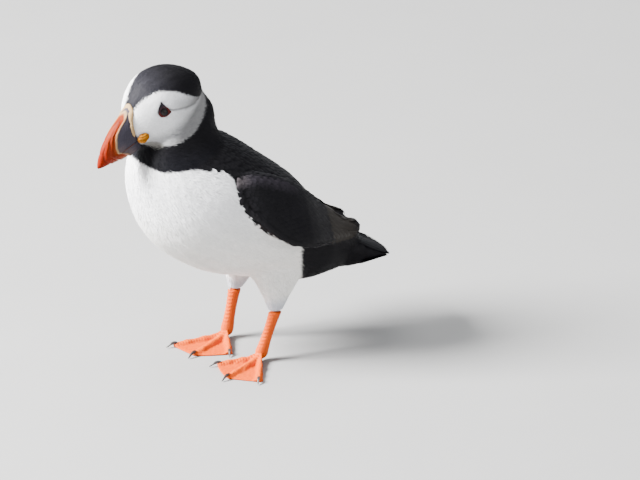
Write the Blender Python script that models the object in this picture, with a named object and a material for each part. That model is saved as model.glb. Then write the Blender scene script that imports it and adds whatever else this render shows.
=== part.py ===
"""Atlantic puffin, life size, standing with its head bowed and turned to its left.

The bird faces -Y, its left side is +X and it stands on z = 0. Feathered parts are solid out to the
tips of the plumage. Lengths below are in millimetres, and MM turns them into metres.
"""

import math
from collections import namedtuple

import bmesh
import bpy
import numpy as np
from mathutils import Euler, Matrix, Vector

MM = 0.001
GAP = 0.35  # between neighbouring solids
PARTING_GAP = 0.55  # along the form, where one loft is parted in two across it
LEFT, RIGHT = 1, -1
SIDES = {"left": LEFT, "right": RIGHT}

# Plumage, horn and skin: colour, roughness.
BLACK = ("black_plumage", (0.016, 0.015, 0.017), 0.6)
PRIMARY = ("primary_plumage", (0.035, 0.032, 0.028), 0.6)
WHITE = ("white_plumage", (0.86, 0.86, 0.85), 0.75)
BILL = ("bill_horn", (0.76, 0.12, 0.03), 0.35)
ROSETTE = ("gape_skin", (0.90, 0.42, 0.03), 0.6)
EYE = ("eye", (0.03, 0.015, 0.01), 0.05)
SKIN = ("leg_skin", (0.90, 0.22, 0.03), 0.45)
CLAW = ("claw_horn", (0.02, 0.02, 0.022), 0.4)

# The torso is one form along the bird's middle plane, from the tail base to inside the head.
# Each section stands across the axis, which climbs forwards at `climb` degrees; `up` and `down`
# are its reach towards the back and towards the belly, and `wide` its half width.
Section = namedtuple("Section", "y z climb wide up down")
TAIL_BASE = Section(66, 68, 22, 19, 12, 23)
RUMP = Section(45, 77, 26, 32, 14.5, 35.5)
HIPS = Section(17, 89, 30, 41, 30, 41)
BELLY = Section(-12, 103, 33, 45, 37.5, 47.5)
BREAST = Section(-36, 119, 44, 44, 39.5, 46)
SHOULDERS = Section(-51, 137, 62, 36, 35.5, 34)
THROAT = Section(-55, 153, 76, 26.5, 32.5, 23)
NAPE = Section(-55, 168, 82, 19.5, 31, 15)
OCCIPUT = Section(-54, 178, 86, 13.5, 25.5, 12)
TORSO = [TAIL_BASE, RUMP, HIPS, BELLY, BREAST, SHOULDERS, THROAT, NAPE, OCCIPUT]
TORSO_ROUNDNESS = 2.15
RUMP_CAP = 9
NECK_TOP = (-50, 186)  # y, z, inside the head
NECK_STARTS_AT = 5.15  # in sections, just above the shoulders
MANTLE_AT = (-12, 117)  # a point of the plane that parts the black back from the white below
MANTLE_SLOPE = 33  # degrees, rising forwards

# The head stands in its own frame: -Y runs forwards along the mouth line, and Z to the crown.
HEAD_AT = (0, -57, 180)
HEAD_BOW, HEAD_TURN, HEAD_TILT = 27.5, 18, 9  # degrees: down, to its left, and over to its left
HeadRing = namedtuple("HeadRing", "ahead wide up down")
HEAD = [
    HeadRing(-25, 7, 5.5, 8),
    HeadRing(-22, 11.5, 10.3, 12.5),
    HeadRing(-15.5, 17, 17.4, 19.5),
    HeadRing(-7, 20.8, 23.1, 23.5),
    HeadRing(3, 22, 26.3, 25),
    HeadRing(13, 20.5, 25.6, 23.5),
    HeadRing(22.5, 15.5, 21.2, 19.5),
    HeadRing(29.5, 9.5, 15, 15),
]
BACK_CAP, FACE_CAP = 2, 6

# The bill, in the head's frame.
BILL_TIP = (63.9, -6.9)  # ahead, up
CULMEN = [(26, 18.3), (35.5, 14.2), (42, 11.8), (47.8, 9.1), (53.3, 5.4), (58.9, 0.1), BILL_TIP]
GONYS = [(36, -15.5), (42.3, -14), (48.3, -12.2), (54.5, -10), BILL_TIP]
MOUTH = (26, -2.6)  # where the mouth line starts: ahead, up
MOUTH_BEND = 1.5  # how late the mouth line drops towards the tip: 1 is straight
BILL_WIDE = 9.0  # half width at the base
BILL_TAPER = 0.62  # below 1, the bill keeps its width for longer
LOWER_NARROWER = 0.94  # the lower half's width as a share of the upper's
BILL_ROOT = 11  # how far the bill runs back into the head

EYE_AT = (15.4, 12.4, 9.6)  # out, ahead, up
EYE_RADIUS = 3.8
ROSETTE_AT = (10.2, 29.2, -1.8)
ROSETTE_SIZE = (3.0, 4.2, 3.2)

# A folded wing, from wrist to tip: centre, half chord, half thickness, and how far its outer
# face is turned up from facing sideways.
WingRing = namedtuple("WingRing", "x y z chord thick turn")
WING = [
    WingRing(38.5, -21, 124, 11, 5.5, 20),
    WingRing(41, -11, 118, 18.5, 6.5, 22),
    WingRing(41, 5, 109.5, 23, 6.5, 25),
    WingRing(37, 25, 100, 21, 6, 30),
    WingRing(24.5, 46, 88, 14, 4.6, 38),
    WingRing(16.5, 62, 79.5, 8, 3.2, 45),
    WingRing(12.5, 71.5, 78, 5, 2.4, 48),
]
WRIST_CAP, WINGTIP_CAP = 5, 3.5
WRIST_AHEAD = (0, -0.93, 0.37)  # which way the wrist points
PRIMARIES_START_AT = 4  # in rings, where the long flight feathers come out from under the rest

# The closed tail: a wedge of coverts that thins into a flat fan.
TailRing = namedtuple("TailRing", "y z wide up down")
TAIL = [
    TailRing(58, 70, 15, 9, 21),
    TailRing(70, 65.5, 17.5, 6, 18),
    TailRing(82, 61, 19.5, 3.2, 10),
    TailRing(92, 57.5, 20.5, 1.8, 2.4),
]
TAIL_CAP = 5

# Legs: the left one as it stands, and how far the right one is ahead of it.
ANKLE = (24, 9, 33)
FOOT_JOINT = (23, 0, 7)
RIGHT_ANKLE_AHEAD = 6.8
RIGHT_FOOT_AHEAD = 3.5
THIGH_TOP = (20, 14, 70)
THIGH, GARTER, THIGH_TAPER = (12, 27), (4.4, 4.8), 1.15  # half width and half depth of each end
SHANK = (2.9, 3.8)  # half width and half depth of the bare tarsus
FOOT_YAW = {"left": 31, "right": 32}  # towards the bird's left

# A foot, seen from above: each toe's angle outwards from the middle one, its length and claw.
Toe = namedtuple("Toe", "angle length claw")
TOES = {"inner": Toe(-36, 31, 6), "middle": Toe(0, 40, 6.5), "outer": Toe(31, 39, 5.5)}
TOE_MARGIN = 4.5  # degrees of foot outside the inner and outer toes
TOE_HALF_WIDTH, TOE_HEIGHT, WEB_THICKNESS = 2.5, 4.4, 1.1
KNUCKLE_HEIGHT = 8.2
KNUCKLE_CAP = 5.5  # how far the tarsus rounds off below the foot's joint
CLAW_HALF_WIDTH, CLAW_HEIGHT = 1.2, 2.2  # at the claw's root: its middle's height
WEB_SAG = 0.05  # how far the web's edge falls back between two toes, as a share of their length


def clear_scene():
    for obj in list(bpy.data.objects):
        bpy.data.objects.remove(obj, do_unlink=True)


def material(look):
    name, colour, roughness = look
    made = bpy.data.materials.get(name) or bpy.data.materials.new(name)
    made.use_nodes = True
    shader = made.node_tree.nodes["Principled BSDF"]
    shader.inputs["Base Color"].default_value = (*colour, 1)
    shader.inputs["Roughness"].default_value = roughness
    shader.inputs["Metallic"].default_value = 0
    return made


def smooth_rows(rows, steps):
    """Rows of numbers read along a Catmull-Rom curve through the given ones, `steps` to each."""
    rows = np.array(rows, float)
    ends = np.vstack([2 * rows[0] - rows[1], rows, 2 * rows[-1] - rows[-2]])
    made = []
    for i in range(len(rows) - 1):
        a, b, c, d = ends[i : i + 4]
        for t in np.arange(steps) / steps:
            made.append(
                0.5
                * (
                    2 * b
                    + (c - a) * t
                    + (2 * a - 5 * b + 4 * c - d) * t**2
                    + (3 * b - a - 3 * c + d) * t**3
                )
            )
    return np.array(made + [rows[-1]])


def oval(wide, up, down, count, roundness=2.0):
    """Points round a section, starting at its left: across and upwards."""
    points = []
    for k in range(count):
        a = 2 * math.pi * k / count
        across = math.copysign(abs(math.cos(a)) ** (2 / roundness), math.cos(a))
        rise = math.copysign(abs(math.sin(a)) ** (2 / roundness), math.sin(a))
        points.append((wide * across, (up if rise > 0 else down) * rise))
    return points


def capped(ring, pole, steps=4):
    """Rings that round a ring off towards a pole, and the pole."""
    ring, pole = np.array(ring, float), np.array(pole, float)
    centre = ring.mean(0)
    rings = []
    for k in range(1, steps):
        a = 0.5 * math.pi * k / steps
        rings.append(centre + (ring - centre) * math.cos(a) + (pole - centre) * math.sin(a))
    return rings, pole


def solid(name, look, rings, start=None, end=None, home=None):
    """One closed mesh through rings of points in millimetres, shut by poles or flat ends."""
    rings = [np.array(r, float) for r in rings]
    if start is not None:
        extra, start = capped(rings[0], start)
        rings = extra[::-1] + rings
    if end is not None:
        extra, end = capped(rings[-1], end)
        rings = rings + extra
    bm = bmesh.new()
    loops = [[bm.verts.new(Vector(p) * MM) for p in ring] for ring in rings]
    count = len(loops[0])
    for a, b in zip(loops, loops[1:]):
        for k in range(count):
            bm.faces.new((a[k], a[(k + 1) % count], b[(k + 1) % count], b[k]))
    for loop, pole in ((loops[0], start), (loops[-1], end)):
        if pole is None:
            bm.faces.new(loop)
            continue
        tip = bm.verts.new(Vector(pole) * MM)
        for k in range(count):
            bm.faces.new((loop[k], loop[(k + 1) % count], tip))
    bmesh.ops.recalc_face_normals(bm, faces=bm.faces)
    return finish_mesh(name, look, bm, home)


def finish_mesh(name, look, bm, home=None):
    if bm.calc_volume(signed=True) < 0:
        bmesh.ops.reverse_faces(bm, faces=bm.faces)
    mesh = bpy.data.meshes.new(name)
    bm.to_mesh(mesh)
    bm.free()
    mesh.materials.append(material(look))
    mesh.shade_smooth()
    mesh.set_sharp_from_angle(angle=math.radians(50))
    obj = bpy.data.objects.new(name, mesh)
    bpy.context.scene.collection.objects.link(obj)
    obj.parent = home
    return obj


def empty(name, place, turn):
    obj = bpy.data.objects.new(name, None)
    obj.location = Vector(place) * MM
    obj.rotation_euler = turn
    bpy.context.scene.collection.objects.link(obj)
    return obj


def copied_mesh(obj):
    """A piece's surface in the world, with its modifiers applied."""
    bpy.context.view_layer.update()
    evaluated = obj.evaluated_get(bpy.context.evaluated_depsgraph_get())
    bm = bmesh.new()
    bm.from_mesh(evaluated.to_mesh())
    bm.transform(obj.matrix_world)
    bm.normal_update()
    return bm


def hidden(name, bm):
    """A cutter, which isn't part of the bird."""
    mesh = bpy.data.meshes.new(name)
    bm.to_mesh(mesh)
    bm.free()
    cutter = bpy.data.objects.new(name, mesh)
    bpy.context.scene.collection.objects.link(cutter)
    cutter.hide_render = True
    cutter.display_type = "WIRE"
    return cutter


def grown(obj, by=GAP):
    """A hidden copy of a piece whose surface stands `by` millimetres further out."""
    bm = copied_mesh(obj)
    shifts = [v.normal.copy() for v in bm.verts]
    for v, normal in zip(bm.verts, shifts):
        v.co += normal * by * MM
    return hidden(obj.name + "_grown", bm)


def carve(obj, *cutters):
    """Cuts room for its neighbours out of a piece."""
    for cutter in cutters:
        cut = obj.modifiers.new("room_for_" + cutter.name, "BOOLEAN")
        cut.operation = "DIFFERENCE"
        cut.solver = "EXACT"
        cut.object = cutter


def torso_ring(row, count):
    y, z, climb, wide, up, down = row
    lean = math.radians(climb)
    ring = oval(wide, up, down, count, TORSO_ROUNDNESS)
    return [(x, y + v * math.sin(lean), z + v * math.cos(lean)) for x, v in ring]


def torso():
    """Trunk and neck, from one smooth form parted just above the shoulders."""
    steps, count = 4, 24
    rows = smooth_rows(TORSO, steps)
    parting = round(NECK_STARTS_AT * steps)
    rings = [torso_ring(row, count) for row in rows]
    first = rows[0]
    lean = math.radians(first[2])
    tail_pole = (0, first[0] + RUMP_CAP * math.cos(lean), first[1] - RUMP_CAP * math.sin(lean))
    trunk = solid("trunk", WHITE, rings[: parting + 1], start=tail_pole)
    between = np.array(rings[parting]), np.array(rings[parting + 1])
    step = between[1].mean(0) - between[0].mean(0)
    above = between[0] + (between[1] - between[0]) * PARTING_GAP / np.linalg.norm(step)
    neck = solid("neck", BLACK, [above] + rings[parting + 1 :], end=(0, *NECK_TOP))
    return trunk, neck


def parted_mantle(trunk):
    """The black back: what a sloping plane cuts off the top of the trunk."""
    mantle = finish_mesh("mantle", BLACK, copied_mesh(trunk))
    for obj, operation, lift in ((mantle, "INTERSECT", GAP), (trunk, "DIFFERENCE", 0)):
        bm = bmesh.new()
        bmesh.ops.create_cube(bm, size=0.3)
        bmesh.ops.translate(bm, verts=bm.verts, vec=(0, 0, 0.15 + lift * MM))
        bmesh.ops.rotate(bm, verts=bm.verts, matrix=Matrix.Rotation(math.radians(-MANTLE_SLOPE), 3, "X"))
        bmesh.ops.translate(bm, verts=bm.verts, vec=Vector((0, *MANTLE_AT)) * MM)
        box = hidden("mantle_parting_" + obj.name, bm)
        cut = obj.modifiers.new("parting", "BOOLEAN")
        cut.operation = operation
        cut.solver = "EXACT"
        cut.object = box
    return mantle


def head(frame):
    steps, count = 3, 22
    rings = []
    for ahead, wide, up, down in smooth_rows(HEAD, steps):
        rings.append([(x, -ahead, v) for x, v in oval(wide, up, down, count)])
    back = (0, -HEAD[0].ahead + BACK_CAP, -1)
    front = (0, -HEAD[-1].ahead - FACE_CAP, 0)
    return solid("head", BLACK, rings, start=back, end=front, home=frame)


def mouth_line(ahead):
    """How high the mouth line is at a distance ahead."""
    t = max(0, ahead - MOUTH[0]) / (BILL_TIP[0] - MOUTH[0])
    return MOUTH[1] + (BILL_TIP[1] - MOUTH[1]) * t**MOUTH_BEND


def mandible(name, frame, profile, side):
    """Half of the bill: side is +1 above the mouth line and -1 below it."""
    rings, count = [], 13
    rows = smooth_rows(profile, 12 // (len(profile) - 1))
    for k, (ahead, edge) in enumerate(rows[:-1]):
        t = k / (len(rows) - 1)
        mouth = mouth_line(ahead) + side * 0.5 * GAP
        height = side * (edge - mouth)
        wide = BILL_WIDE * (1 - t) ** BILL_TAPER * (LOWER_NARROWER if side < 0 else 1)
        ring = []
        for j in range(count):
            a = math.pi * j / (count - 1)
            across = wide * math.copysign(abs(math.cos(a)) ** 0.9, math.cos(a))
            ring.append((across, -ahead, mouth + side * height * math.sin(a) ** 1.15))
        rings.append(ring)
    root = [(x * 0.9, y + BILL_ROOT, z) for x, y, z in rings[0]]
    tip = (0, -BILL_TIP[0], BILL_TIP[1] + side * 0.5 * GAP)
    bm = bmesh.new()
    loops = [[bm.verts.new(Vector(p) * MM) for p in ring] for ring in [root] + rings]
    point = bm.verts.new(Vector(tip) * MM)
    for a, b in zip(loops, loops[1:]):
        for j in range(count):
            bm.faces.new((a[j], a[(j + 1) % count], b[(j + 1) % count], b[j]))
    for j in range(count):
        bm.faces.new((loops[-1][j], loops[-1][(j + 1) % count], point))
    bm.faces.new(loops[0])
    bmesh.ops.recalc_face_normals(bm, faces=bm.faces)
    return finish_mesh(name, BILL, bm, frame)


def ball(name, look, centre, size, frame, rounds=12, stacks=8):
    bm = bmesh.new()
    bmesh.ops.create_uvsphere(bm, u_segments=rounds, v_segments=stacks, radius=MM)
    bmesh.ops.scale(bm, vec=size, verts=bm.verts)
    obj = finish_mesh(name, look, bm, frame)
    obj.location = Vector(centre) * MM
    return obj


def wing(label, side):
    """A folded wing, and the tips of its primaries."""
    rings, count, steps = [], 16, 3
    for x, y, z, chord, thick, turn in smooth_rows(WING, steps):
        a = math.radians(turn)
        down = np.array((side * math.sin(a), 0, -math.cos(a)))
        out = np.array((side * math.cos(a), 0, math.sin(a)))
        centre = np.array((side * x, y, z))
        ring = oval(chord, thick, thick, count, 2.6)
        rings.append([centre + down * c + out * t for c, t in ring])
    heading = np.array(WING[-1][:3]) - np.array(WING[-2][:3])
    heading = heading / np.linalg.norm(heading) * (side, 1, 1)
    start = np.mean(rings[0], 0) + WRIST_CAP * np.array(WRIST_AHEAD)
    end = np.mean(rings[-1], 0) + WINGTIP_CAP * heading
    parting = PRIMARIES_START_AT * steps
    front = solid("wing_" + label, BLACK, rings[: parting + 1], start=start)
    step = np.linalg.norm(np.mean(rings[parting + 1], 0) - np.mean(rings[parting], 0))
    ahead, behind = np.array(rings[parting]), np.array(rings[parting + 1])
    first = ahead + (behind - ahead) * PARTING_GAP / step
    return front, solid("primaries_" + label, PRIMARY, [first] + rings[parting + 1 :], end=end)


def tail():
    rings = []
    for y, z, wide, up, down in smooth_rows(TAIL, 4):
        rings.append([(x, y, z + v) for x, v in oval(wide, up, down, 20, 2.4)])
    last = TAIL[-1]
    return solid("tail", BLACK, rings, end=(0, last.y + TAIL_CAP, last.z - 0.4 * TAIL_CAP))


def tube(name, look, path, half_sizes, count=14, start=None, end=None):
    """A leg's length: ovals across a path that runs down it."""
    rings = []
    for place, (wide, deep) in zip(path, half_sizes):
        x, y, z = place
        rings.append([(x + a, y + b, z) for a, b in oval(wide, deep, deep, count)])
    return solid(name, look, rings, start=start, end=end)


def leg(label, side):
    """The feathered thigh, the bare tarsus and the webbed foot of one side."""
    right = label == "right"
    ankle = np.array((side * ANKLE[0], ANKLE[1] - right * RIGHT_ANKLE_AHEAD, ANKLE[2]))
    joint = np.array((side * FOOT_JOINT[0], FOOT_JOINT[1] - right * RIGHT_FOOT_AHEAD, FOOT_JOINT[2]))
    top = np.array((side * THIGH_TOP[0], THIGH_TOP[1], THIGH_TOP[2]))
    path, sizes = [], []
    for t in np.linspace(0, 1, 8):
        path.append(top + (ankle - top) * t)
        sizes.append([low + (high - low) * (1 - t) ** THIGH_TAPER for low, high in zip(GARTER, THIGH)])
    thigh = tube("thigh_" + label, WHITE, path, sizes, 16)
    shin, sizes = [], []
    top = ankle - (0, 0, GAP)
    for t in np.linspace(0, 1, 6):
        shin.append(top + (joint - top) * t)
        swell = 1 + 0.2 * (2 * t - 1) ** 2
        sizes.append((SHANK[0] * swell, SHANK[1] * swell))
    knuckle = joint - (0, 0, KNUCKLE_CAP)
    tarsus = tube("tarsus_" + label, SKIN, shin, sizes, 12, end=knuckle)
    turn = Euler((0, 0, math.radians(FOOT_YAW[label])))
    frame = empty("foot_frame_" + label, (joint[0], joint[1], 0), turn)
    foot = webbed_foot("foot_" + label, frame, side)
    for toe, shape in TOES.items():
        carve(claw(f"claw_{label}_{toe}", frame, side, shape), grown(foot))
    carve(tarsus, grown(foot))
    return thigh


def foot_height(across, ahead, reach):
    """The foot's top above its sole: the web, raised over each toe and at the knuckle."""
    from_joint = math.hypot(across, ahead)
    rise = 0.0
    for toe in TOES.values():
        a = math.radians(toe.angle)
        off = across * math.cos(a) - ahead * math.sin(a)
        along = across * math.sin(a) + ahead * math.cos(a)
        width = TOE_HALF_WIDTH * (1 - 0.25 * min(1, max(0, along / toe.length)))
        if along > 0 and abs(off) < width:
            rise = max(rise, math.sqrt(1 - (off / width) ** 2))
    toe_top = TOE_HEIGHT * (1 - 0.3 * min(1, from_joint / reach))
    top = WEB_THICKNESS + (toe_top - WEB_THICKNESS) * rise
    knuckle = (KNUCKLE_HEIGHT - top) * math.exp(-((from_joint / 5.0) ** 2))
    return top + knuckle


def webbed_foot(name, frame, side):
    """Toes and web in one plate, flat below, laid out in rays from the joint."""
    steps, rims = 22, 6
    low, high = TOES["inner"].angle - TOE_MARGIN, TOES["outer"].angle + TOE_MARGIN
    bm = bmesh.new()
    tops, soles = [], []
    for i in range(steps + 1):
        angle = low + (high - low) * i / steps
        reach = web_reach(angle)
        ray, sole = [], []
        for j in range(1, rims + 1):
            r = reach * j / rims
            across, ahead = r * math.sin(math.radians(angle)), r * math.cos(math.radians(angle))
            top = foot_height(across, ahead, reach)
            inset = 1 if j < rims else 0.985
            ray.append(bm.verts.new(Vector((side * across, -ahead, top)) * MM))
            sole.append(bm.verts.new(Vector((side * across * inset, -ahead * inset, 0)) * MM))
        tops.append(ray)
        soles.append(sole)
    peak = bm.verts.new(Vector((0, 0, KNUCKLE_HEIGHT)) * MM)
    base = bm.verts.new(Vector((0, 0, 0)))
    for i in range(steps):
        for rows in (tops, soles):
            for j in range(rims - 1):
                bm.faces.new((rows[i][j], rows[i][j + 1], rows[i + 1][j + 1], rows[i + 1][j]))
        bm.faces.new((peak, tops[i][0], tops[i + 1][0]))
        bm.faces.new((base, soles[i][0], soles[i + 1][0]))
        bm.faces.new((tops[i][-1], soles[i][-1], soles[i + 1][-1], tops[i + 1][-1]))
    for top, sole in ((tops[0], soles[0]), (tops[-1], soles[-1])):
        bm.faces.new((peak, base, sole[0], top[0]))
        for j in range(rims - 1):
            bm.faces.new((top[j], sole[j], sole[j + 1], top[j + 1]))
    bmesh.ops.recalc_face_normals(bm, faces=bm.faces)
    return finish_mesh(name, SKIN, bm, frame)


def web_reach(angle):
    """How far the foot runs at an angle: to a toe's end, or to the web's hollow edge."""
    toes = sorted(TOES.values())
    if angle <= toes[0].angle or angle >= toes[-1].angle:
        toe = toes[0] if angle <= toes[0].angle else toes[-1]
        return toe.length * (1 - 0.04 * abs(angle - toe.angle) / TOE_MARGIN)
    for a, b in zip(toes, toes[1:]):
        if a.angle <= angle <= b.angle:
            t = (angle - a.angle) / (b.angle - a.angle)
            straight = a.length + (b.length - a.length) * t
            return straight * (1 - WEB_SAG * (4 * t * (1 - t)) ** 0.6)
    return 0.0


def claw(name, frame, side, toe):
    """A claw that curves down from the end of its toe to just above the floor."""
    a = math.radians(toe.angle)
    ahead = np.array((side * math.sin(a), -math.cos(a), 0))
    rings = []
    for t in np.linspace(0, 1, 6):
        place = ahead * (toe.length - 3 + (toe.claw + 2) * t)
        place[2] = CLAW_HEIGHT + math.sin(math.pi * min(1, t * 1.15)) - 1.5 * t**2
        size = CLAW_HALF_WIDTH * (1 - t) ** 0.7 + 0.25
        across = np.array((-ahead[1], ahead[0], 0))
        ring = oval(size * 0.8, size, size, 8)
        rings.append([place + across * c + np.array((0, 0, v)) for c, v in ring])
    return solid(name, CLAW, rings, home=frame)


def stand_at_origin():
    """Moves the whole bird so that the middle of its box is over the origin."""
    bpy.context.view_layer.update()
    graph = bpy.context.evaluated_depsgraph_get()
    shown = [o for o in bpy.data.objects if o.type == "MESH" and not o.hide_render]
    points = []
    for obj in shown:
        evaluated = obj.evaluated_get(graph)
        points += [evaluated.matrix_world @ v.co for v in evaluated.data.vertices]
    low = Vector(map(min, zip(*points)))
    high = Vector(map(max, zip(*points)))
    shift = Matrix.Translation((-(low.x + high.x) / 2, -(low.y + high.y) / 2, -low.z))
    for obj in bpy.data.objects:
        if obj.parent is None:
            obj.matrix_world = shift @ obj.matrix_world


def main():
    clear_scene()
    turn = Euler([math.radians(a) for a in (HEAD_BOW, HEAD_TILT, HEAD_TURN)], "XYZ")
    frame = empty("head_frame", HEAD_AT, turn)
    trunk, neck = torso()
    skull = head(frame)
    grown_trunk = grown(trunk)
    parted_mantle(trunk)
    upper = mandible("bill_upper", frame, CULMEN, +1)
    lower = mandible("bill_lower", frame, GONYS, -1)
    grown_upper, grown_lower = grown(upper), grown(lower)
    eyes = []
    for label, side in SIDES.items():
        out, ahead, up = EYE_AT
        size = [EYE_RADIUS] * 3
        eyes.append(ball("eye_" + label, EYE, (side * out, -ahead, up), size, frame))
        out, ahead, up = ROSETTE_AT
        rosette = ball("gape_" + label, ROSETTE, (side * out, -ahead, up), ROSETTE_SIZE, frame)
        carve(rosette, grown(skull), grown_upper, grown_lower)
    grown_skull = grown(skull)
    carve(upper, grown_skull)
    carve(lower, grown_skull)
    carve(neck, grown_skull, grown_lower)
    carve(skull, *[grown(eye) for eye in eyes])
    rear = tail()
    carve(rear, grown_trunk)
    around = grown_trunk, grown(neck), grown(rear)
    for label, side in SIDES.items():
        for piece in wing(label, side):
            carve(piece, *around)
        carve(leg(label, side), grown_trunk)
    stand_at_origin()


main()
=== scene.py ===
import math

import bmesh
import bpy
import numpy as np
from mathutils import Matrix, Vector
from mathutils.bvhtree import BVHTree
from mathutils.kdtree import KDTree


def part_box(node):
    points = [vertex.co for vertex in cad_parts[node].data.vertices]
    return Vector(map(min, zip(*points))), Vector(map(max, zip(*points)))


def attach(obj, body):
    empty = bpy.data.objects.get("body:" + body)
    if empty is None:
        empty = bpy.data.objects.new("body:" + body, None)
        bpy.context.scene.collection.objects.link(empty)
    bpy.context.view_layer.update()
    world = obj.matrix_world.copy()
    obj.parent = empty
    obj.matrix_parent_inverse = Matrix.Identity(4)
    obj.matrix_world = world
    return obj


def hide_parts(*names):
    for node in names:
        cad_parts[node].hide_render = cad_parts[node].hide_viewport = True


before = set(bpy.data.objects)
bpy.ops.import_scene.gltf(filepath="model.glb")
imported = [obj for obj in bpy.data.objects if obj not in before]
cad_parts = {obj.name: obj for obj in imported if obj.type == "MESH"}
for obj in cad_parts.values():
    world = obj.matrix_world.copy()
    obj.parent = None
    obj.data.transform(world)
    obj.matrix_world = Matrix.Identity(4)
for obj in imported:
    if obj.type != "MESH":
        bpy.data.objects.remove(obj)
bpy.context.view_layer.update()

# An Atlantic puffin. It faces -Y and its left side is +X. Lengths are in metres, except where a
# name or a comment says millimetres. Colours are scene-linear red, green and blue.
MM = 0.001
SIDES = {"left": 1, "right": -1}
rng = np.random.default_rng(11)
THIN = 1.0

THIGHS = ("thigh_left", "thigh_right")
TORSO = ("head", "neck", "trunk", "mantle", "tail", *THIGHS)
PRIMARIES = ("primaries_left", "primaries_right")
WINGS = ("wing_left", "wing_right", *PRIMARIES)
LEGS = ("tarsus_left", "tarsus_right", "foot_left", "foot_right")
GAPES = ("gape_left", "gape_right")
FEATHERED = TORSO + WINGS


# ---- frames of reference


def middle(node):
    low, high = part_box(node)
    return np.array((low + high) / 2)


def breadth(node):
    """The side of a cube whose diagonal is as long as the node's box's."""
    low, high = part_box(node)
    return float((high - low).length) / math.sqrt(3)


def node_points(node):
    return np.array([v.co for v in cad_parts[node].data.vertices])


def unit(v):
    v = np.asarray(v, float)
    return v / np.maximum(np.linalg.norm(v, axis=-1, keepdims=True), 1e-12)


def smooth(low, high, x):
    """0 at low and 1 at high, with an eased ramp between them and level beyond."""
    t = np.clip((x - low) / (high - low), 0, 1)
    return t * t * (3 - 2 * t)


def band(distance, wide):
    """1 at no distance, fading out over `wide`."""
    return np.exp(-((distance / wide) ** 2))


def mixed(a, b, t):
    """Colour a where t is 0 and colour b where it is 1."""
    return a + (b - a) * t[:, None]


# The head's own axes, from the line through the eyes and the bill's tip. The eyes stand
# EYE_AHEAD and EYE_RISE (mm) from the head's middle.
HEAD_BOW, HEAD_TILT = math.radians(27.5), math.radians(9)
EYE_AHEAD, EYE_RISE = 12.4, 9.6
eye_at = {side: middle("eye_" + side) for side in SIDES}
EYE_RADIUS = breadth("eye_left") / 2
OUT = unit(eye_at["left"] - eye_at["right"])
HEAD_TURN = math.atan2(OUT[1], OUT[0])
level = Matrix.Rotation(HEAD_TURN, 3, "Z") @ Matrix.Rotation(HEAD_TILT, 3, "Y")
turned = level @ Matrix.Rotation(HEAD_BOW, 3, "X")
AHEAD = np.array(turned @ Vector((0, -1, 0)))
RISE = np.array(turned @ Vector((0, 0, 1)))
HEAD = (eye_at["left"] + eye_at["right"]) / 2 - (AHEAD * EYE_AHEAD + RISE * EYE_RISE) * MM

# The torso's middle plane, and a point on the floor behind the head's middle.
HEAD_OVERHANG = 57 * MM
trunk_low, trunk_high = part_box("trunk")
STAND = np.array(((trunk_low.x + trunk_high.x) / 2, HEAD[1] + HEAD_OVERHANG, 0.0))


def head_mm(p):
    """Out, ahead and up from the head's middle, in millimetres."""
    d = (np.asarray(p) - HEAD) / MM
    return d @ OUT, d @ AHEAD, d @ RISE


def from_head(out, ahead, up):
    return HEAD + (OUT * out + AHEAD * ahead + RISE * up) * MM


def body_mm(p):
    """Out, behind and up from the point where the bird stands, in millimetres."""
    d = (np.asarray(p) - STAND) / MM
    return d[..., 0], d[..., 1], d[..., 2]


def wing_axes(side):
    """The wing's wrist and tip, and its along, out and up directions."""
    wing, tips = node_points("wing_" + side), node_points("primaries_" + side)
    wrist = wing[wing[:, 1] < wing[:, 1].min() + 6 * MM].mean(0)
    tip = tips[tips[:, 1] > tips[:, 1].max() - 5 * MM].mean(0)
    along = unit(tip - wrist)
    out = np.linalg.svd(wing - wing.mean(0), full_matrices=False)[2][2]
    out = unit(out - along * (out @ along))
    out = out * np.sign(out[0]) * SIDES[side]
    return wrist, tip, along, out, np.cross(out, along) * SIDES[side]


def wing_edge(side, stations):
    """How far up the wing's upper edge is at stations along it, in millimetres."""
    wrist, _, along, _, up = WING[side]
    wing = node_points("wing_" + side) - wrist
    s, v = wing @ along / MM, wing @ up / MM
    return [v[np.abs(s - at) < 7].max() for at in stations]


WING = {side: wing_axes(side) for side in SIDES}
EDGE_STATIONS = (-4, 4, 12, 20, 28, 36, 44)
WING_EDGE = {side: wing_edge(side, EDGE_STATIONS) for side in SIDES}


# ---- markings

BLACK = np.array((0.0054, 0.0050, 0.0062))
# The cap's front: partly its real brownish-grey tinge, partly a painted sheen.
CAP_TINGE_AND_SHEEN = np.array((0.017, 0.0163, 0.0205))
COLLAR_GREY = np.array((0.0046, 0.0045, 0.0062))
WHITE = np.array((0.90, 0.90, 0.91))
# Painted shade, with a warm bounce, for the lower belly.
LOWER_BELLY_SHADE = np.array((0.84, 0.825, 0.79))
CHEEK_WHITE = np.array((0.82, 0.82, 0.83))
CHEEK_GREY_AND_SHADE = np.array((0.078, 0.075, 0.073))
FOLD_SHADE = np.array((0.16, 0.155, 0.155))
PATCH_GREY = np.array((0.20, 0.19, 0.17))
PRIMARY_BROWN = np.array((0.024, 0.0205, 0.0175))
WRIST_SHEEN = np.array((0.022, 0.019, 0.024))
WRIST_HIGHLIGHT = np.array((0.070, 0.060, 0.062))
SHIN_WHITE = np.array((0.55, 0.57, 0.62))
LEG_ORANGE = np.array((0.52, 0.070, 0.0005))
LEG_RED = np.array((0.50, 0.052, 0.0005))

# The white underparts' upper edge is the collar's, at heights above the floor, back to the wrist
# (all in mm). From there it is a straight line that falls under the wing. The black flank ends it.
COLLAR_BACK = (-80, -70, -52, -38, -30, -26)
COLLAR_HEIGHT = (143.5, 140.6, 142.4, 140.6, 138, 133)
WRIST_BACK, WRIST_HEIGHT, WING_FALL = -26, 128, 0.5
FLANK_BACK, FLANK_TAPER = 39, 0.466

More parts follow.
